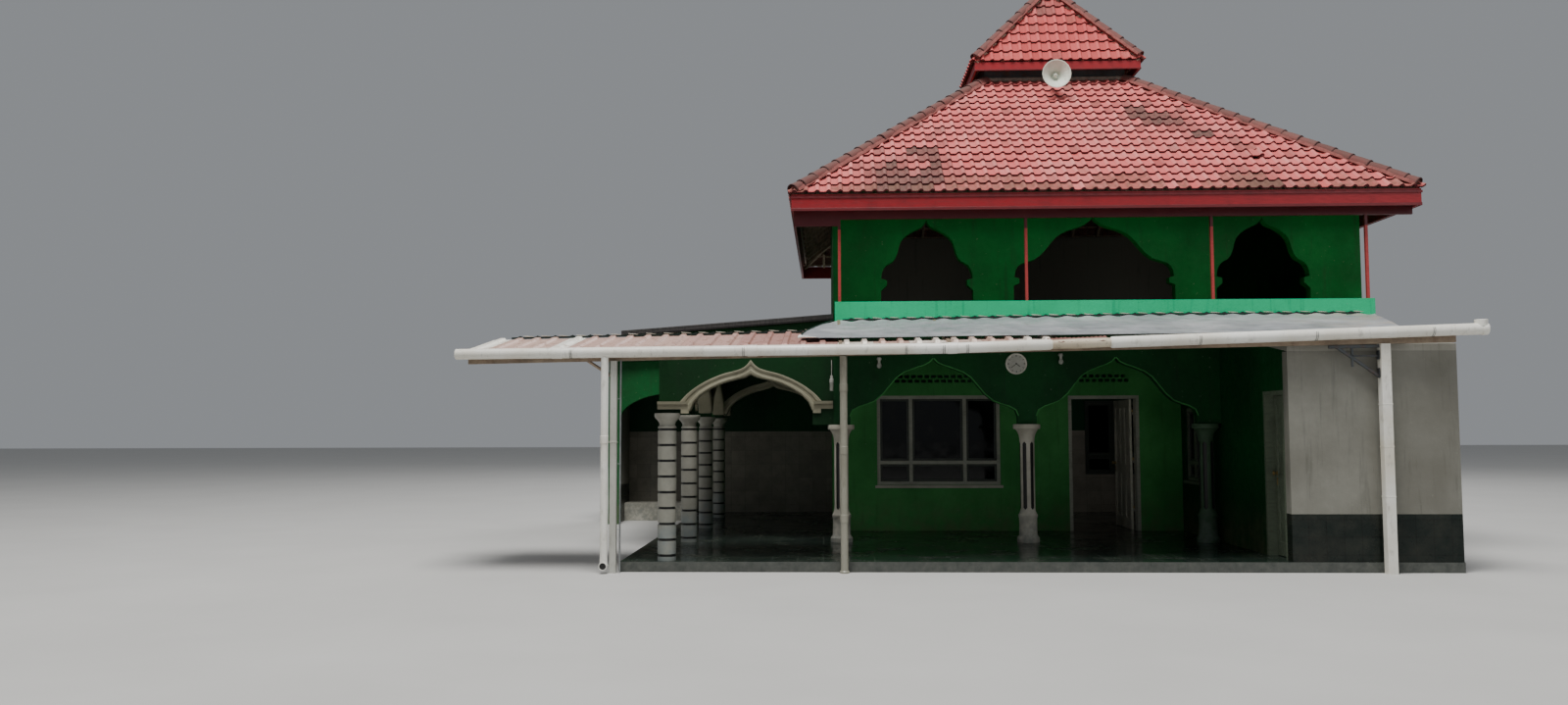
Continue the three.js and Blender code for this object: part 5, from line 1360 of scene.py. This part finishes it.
def build_leaf(name, body, pin, width, top, columns, rows, paint):
    """A framed leaf with raised panels, a round knob on both faces, and its hinges' halves.

    The leaf runs back from its pin at rest, and its outer face looks to the left.
    """
    form, metal, knob_at = Form(), Form(), width - 0.05
    place = lambda u, depth, z: Vector((pin[0] - LEAF_SHY + depth, pin[1] + 0.0015 + u, z))

    def bar(target, u0, z0, u1, z1, wide, deep, up, chamfer=0.003, depth=0):
        target.beam(place(u0, depth, z0), place(u1, depth, z1), wide, deep, up, chamfer)

    for u in (STILE / 2, width - STILE / 2):
        bar(form, u, LEAF_BOTTOM, u, top, LEAF_THICK, STILE, ALONG_Y)
    heights = [LEAF_BOTTOM] + [z for row in rows for z in row] + [top]
    for z0, z1 in zip(heights[::2], heights[1::2]):
        z = (z0 + z1) / 2
        bar(form, STILE - 0.001, z, width - STILE + 0.001, z, LEAF_THICK - 0.0005, z1 - z0, ALONG_Z)
    pitch = (width - 2 * STILE + MUNTIN) / columns
    for z0, z1 in rows:
        for c in range(columns):
            u0 = STILE + c * pitch
            leaf_panel(form, place, u0, u0 + pitch - MUNTIN, z0, z1)
            if c:
                u = u0 - MUNTIN / 2
                bar(form, u, z0 - 0.001, u, z1 + 0.001, LEAF_THICK - 0.001, MUNTIN, ALONG_Y)
    piece(f"{name}_leaf_joinery", form, paint, f"{name}_leaf", body=body)
    for sign in (-1, 1):
        centre = place(knob_at, sign * (LEAF_THICK / 2 - 0.0005), 1.1)
        metal.lathe(KNOB, centre, 24, turn=Matrix.Rotation(sign * math.pi / 2, 3, "Y"))
        bar(metal, knob_at, 0.96, knob_at, 1.05, 0.005, 0.034, ALONG_Y, 0.002, sign * LEAF_THICK / 2)
    for z in KNUCKLES:
        knuckle = [(0.0055, z), (0.0068, z + 0.001), (0.0068, z + 0.039), (0.0055, z + 0.04)]
        metal.lathe(knuckle, (*pin, 0), 16)
        x, y = pin[0] - 0.014, pin[1] + 0.0045
        metal.beam((x, y, z + 0.001), (x, y, z + 0.039), 0.027, 0.004, ALONG_Y, 0.001)
    piece(f"{name}_leaf_fittings", metal, BRASS, body=body)


ENTRANCE_PANELS, SIDE_PANELS = [(0.29, 0.95), (1.09, 1.95)], [(0.29, 0.95), (1.09, 1.9)]  # low and high
build_leaf("entrance_door", "entrance_leaf", (0.966, 4.28), 0.939, 2.0745, 3, ENTRANCE_PANELS, DOOR_PAINT)
build_leaf("side_door", "side_leaf", (1.8, 0.224), 0.529, 2.0245, 2, SIDE_PANELS, SIDE_DOOR_PAINT)
build_windows()


# Small fittings

CLOCK_RIM = [
    (0.12, -0.035), (0.143, -0.035), (0.143, -0.004), (0.139, 0.004), (0.13, 0.006), (0.124, 0.001),
    (0.122, -0.006),
]
BULB = [(0.014, 0.018), (0.024, 0.0), (0.033, -0.022), (0.03, -0.045), (0.016, -0.06), (0.004, -0.064)]
BULB_HOLDER = [(0.03, 0.075), (0.03, 0.05), (0.018, 0.045), (0.018, 0.015)]
COIL_HOLDER = [(0.026, 0.05), (0.028, 0.06), (0.028, 0.1), (0.018, 0.11), (0.018, 0.15)]


def build_clock():
    """A plain wall clock: rim, dial, ticks, two hands."""
    rim, dial, marks = Form(), Form(), Form()
    centre = Vector((-1.082, WALL_FRONT - 0.036, 2.514))
    rim.lathe(CLOCK_RIM, centre, 56, capped=False, turn=TO_FRONT)
    piece("clock_rim", rim, PVC, "wall_clock")
    dial.lathe([(0.126, -0.03), (0.126, -0.007), (0.02, -0.0065)], centre, 48, turn=TO_FRONT)
    piece("clock_dial", dial, DIAL)
    ticks = [(30 * hour, 0.0055, 0.098, 0.116, 0.008 if hour % 3 else 0.013, 0.003) for hour in range(12)]
    hands = [(128, 0.003, -0.015, 0.062, 0.009, 0.002), (232, 0.003, -0.015, 0.088, 0.007, 0.002)]
    for angle, depth, near, far, wide, thick in ticks + hands:
        way = Vector((math.sin(math.radians(angle)), 0, math.cos(math.radians(angle))))
        at = centre + Vector((0, depth, 0))
        marks.beam(at + way * near, at + way * far, wide, thick, ALONG_Y, 0.0005)
    piece("clock_marks", marks, BLACK_LINE)


def build_lamps():
    """Bulbs on the arcade wall, and a coiled lamp under the canopy."""
    glass, cap = Form(), Form()
    for x, z in ((-2.931, 2.523), (-0.489, 2.564)):
        y = WALL_FRONT - 0.055
        cap.lathe(BULB_HOLDER, (x, y, z), 20)
        cap.beam((x, WALL_FRONT - 0.001, z + 0.07), (x, y, z + 0.07), 0.05, 0.03)
        glass.lathe(BULB, (x, y, z), 24)
    x, y, z = -3.577, 2.2, 2.213
    coil = []
    for k in range(85):
        angle = 2 * math.pi * k / 14
        coil.append((x + 0.022 * math.cos(angle), y + 0.022 * math.sin(angle), z + 0.045 - k * 0.0012))
    glass.tube(coil, 0.0052, 8)
    cap.lathe(COIL_HOLDER, (x, y, z), 20)
    wire = [(y, 0.14), (y, 0.3), (y + 0.06, 0.36), (WALL_FRONT - 0.001, 0.36)]
    cap.tube([(x, depth, z + rise) for depth, rise in wire], 0.004, 8)
    piece("lamp_bulbs", glass, LAMP)
    piece("lamp_holders", cap, PVC_GREY)


build_clock()
build_lamps()


# Finishes of the CAD nodes that stay

for finish, names in (
    (FLOOR_TILES, "plinth"), (MORTAR, "upper_floor roof_cap"), (PALE, "wing_step"), (TEAL, "parapet"),
    (GREEN_GROUND_PAINTED_SHADE, "arcade_wall side_wall_over_door side_wall_rear"),
    (GREEN_PORCH_PAINTED_SHADE, "porch_front_arch porch_side_arcade porch_cross_arch"), (GREEN_WING_PAINTED_SHADE, "wing_arch_wall"),
    (GREEN_INNER, "hall_left_walls door_lintel_wall hall_front_wall_right"), (GREEN_BACK_PAINTED_SHADE, "back_wall"),
    (GREEN_UPPER, "upper_front_wall upper_left_wall upper_right_wall"), (UPPER_BACK, "upper_back_wall"),
    (WHITE_WALL_PAINTED_SHADE, "wing_left_wall room_front_and_party_wall"), (PLAIN_WHITE, "side_room_roof"),
    (FASCIA_RED, "lower_fascia top_fascia"), (POST_RED, "eave_frame"), (STEEL, "roof_neck"),
    (FRAME_STEEL, "canopy_frame"), (JOINERY, "hall_window_frame entrance_door_frame"),
    (SIDE_DOOR_PAINT, "side_window_frame side_door_frame"), (SASH, "rear_window_1_frame rear_window_2_frame"),
    (GLASS, "hall_window_glass"), (HORN_PAINT, "loudspeaker_horn"),
):
    for node_name in names.split():
        slots = nodes[node_name].data.materials
        for index in range(len(slots)):
            slots[index] = finish


# Floor and light

def build_stage():
    mesh, size = bpy.data.meshes.new("stage_floor"), 90.0
    corners = [(size * x, size * y, 0) for x, y in CORNERS]
    mesh.from_pydata(corners, [], [(0, 1, 2, 3)])
    mesh.materials.append(mottled("stage_floor", 0.9, (0.6, 3), (184, 183, 180), (192, 191, 188), spread=0.3))
    new_object("stage_floor", mesh)


def area_light(name, at, to, size, power, colour=(1, 1, 1), spread=180):
    data = bpy.data.lights.new(name, "AREA")
    data.shape, data.size, data.energy, data.color = "DISK", size, power, colour
    data.spread = math.radians(spread)
    light = new_object(name, data)
    light.location = Vector(at) + SHIFT
    light.rotation_euler = (Vector(to) - Vector(at)).to_track_quat("-Z", "Y").to_euler()


SKY, SKY_STRENGTH = (0.86, 0.9, 0.95, 1), 0.3


def build_light():
    """Soft light over the whole building, and three weak lamps that let its dark rooms be read."""
    world = bpy.data.worlds.new("world")
    bpy.context.scene.world = world
    world.use_nodes = True
    back = world.node_tree.nodes["Background"]
    back.inputs["Color"].default_value, back.inputs["Strength"].default_value = SKY, SKY_STRENGTH
    area_light("key", (-5, -6.5, 27), (-1, 3, 3), 12, 9500, (1.0, 0.99, 0.97))
    area_light("fill", (13, -14, 12), (0, 4, 4), 10, 500, (0.95, 0.98, 1.0))
    area_light("rear", (3, 26, 18), (0, 7, 4), 13, 2600)
    for x in (-2, 2):
        area_light("gallery", (x, 2.9, 3.75), (x, 8, 3.6), 0.8, 1.3, spread=60)
    area_light("hall", (-0.9, 4.9, 2.0), (0.3, 8, 1.1), 1.0, 5, spread=120)


build_stage()
build_light()
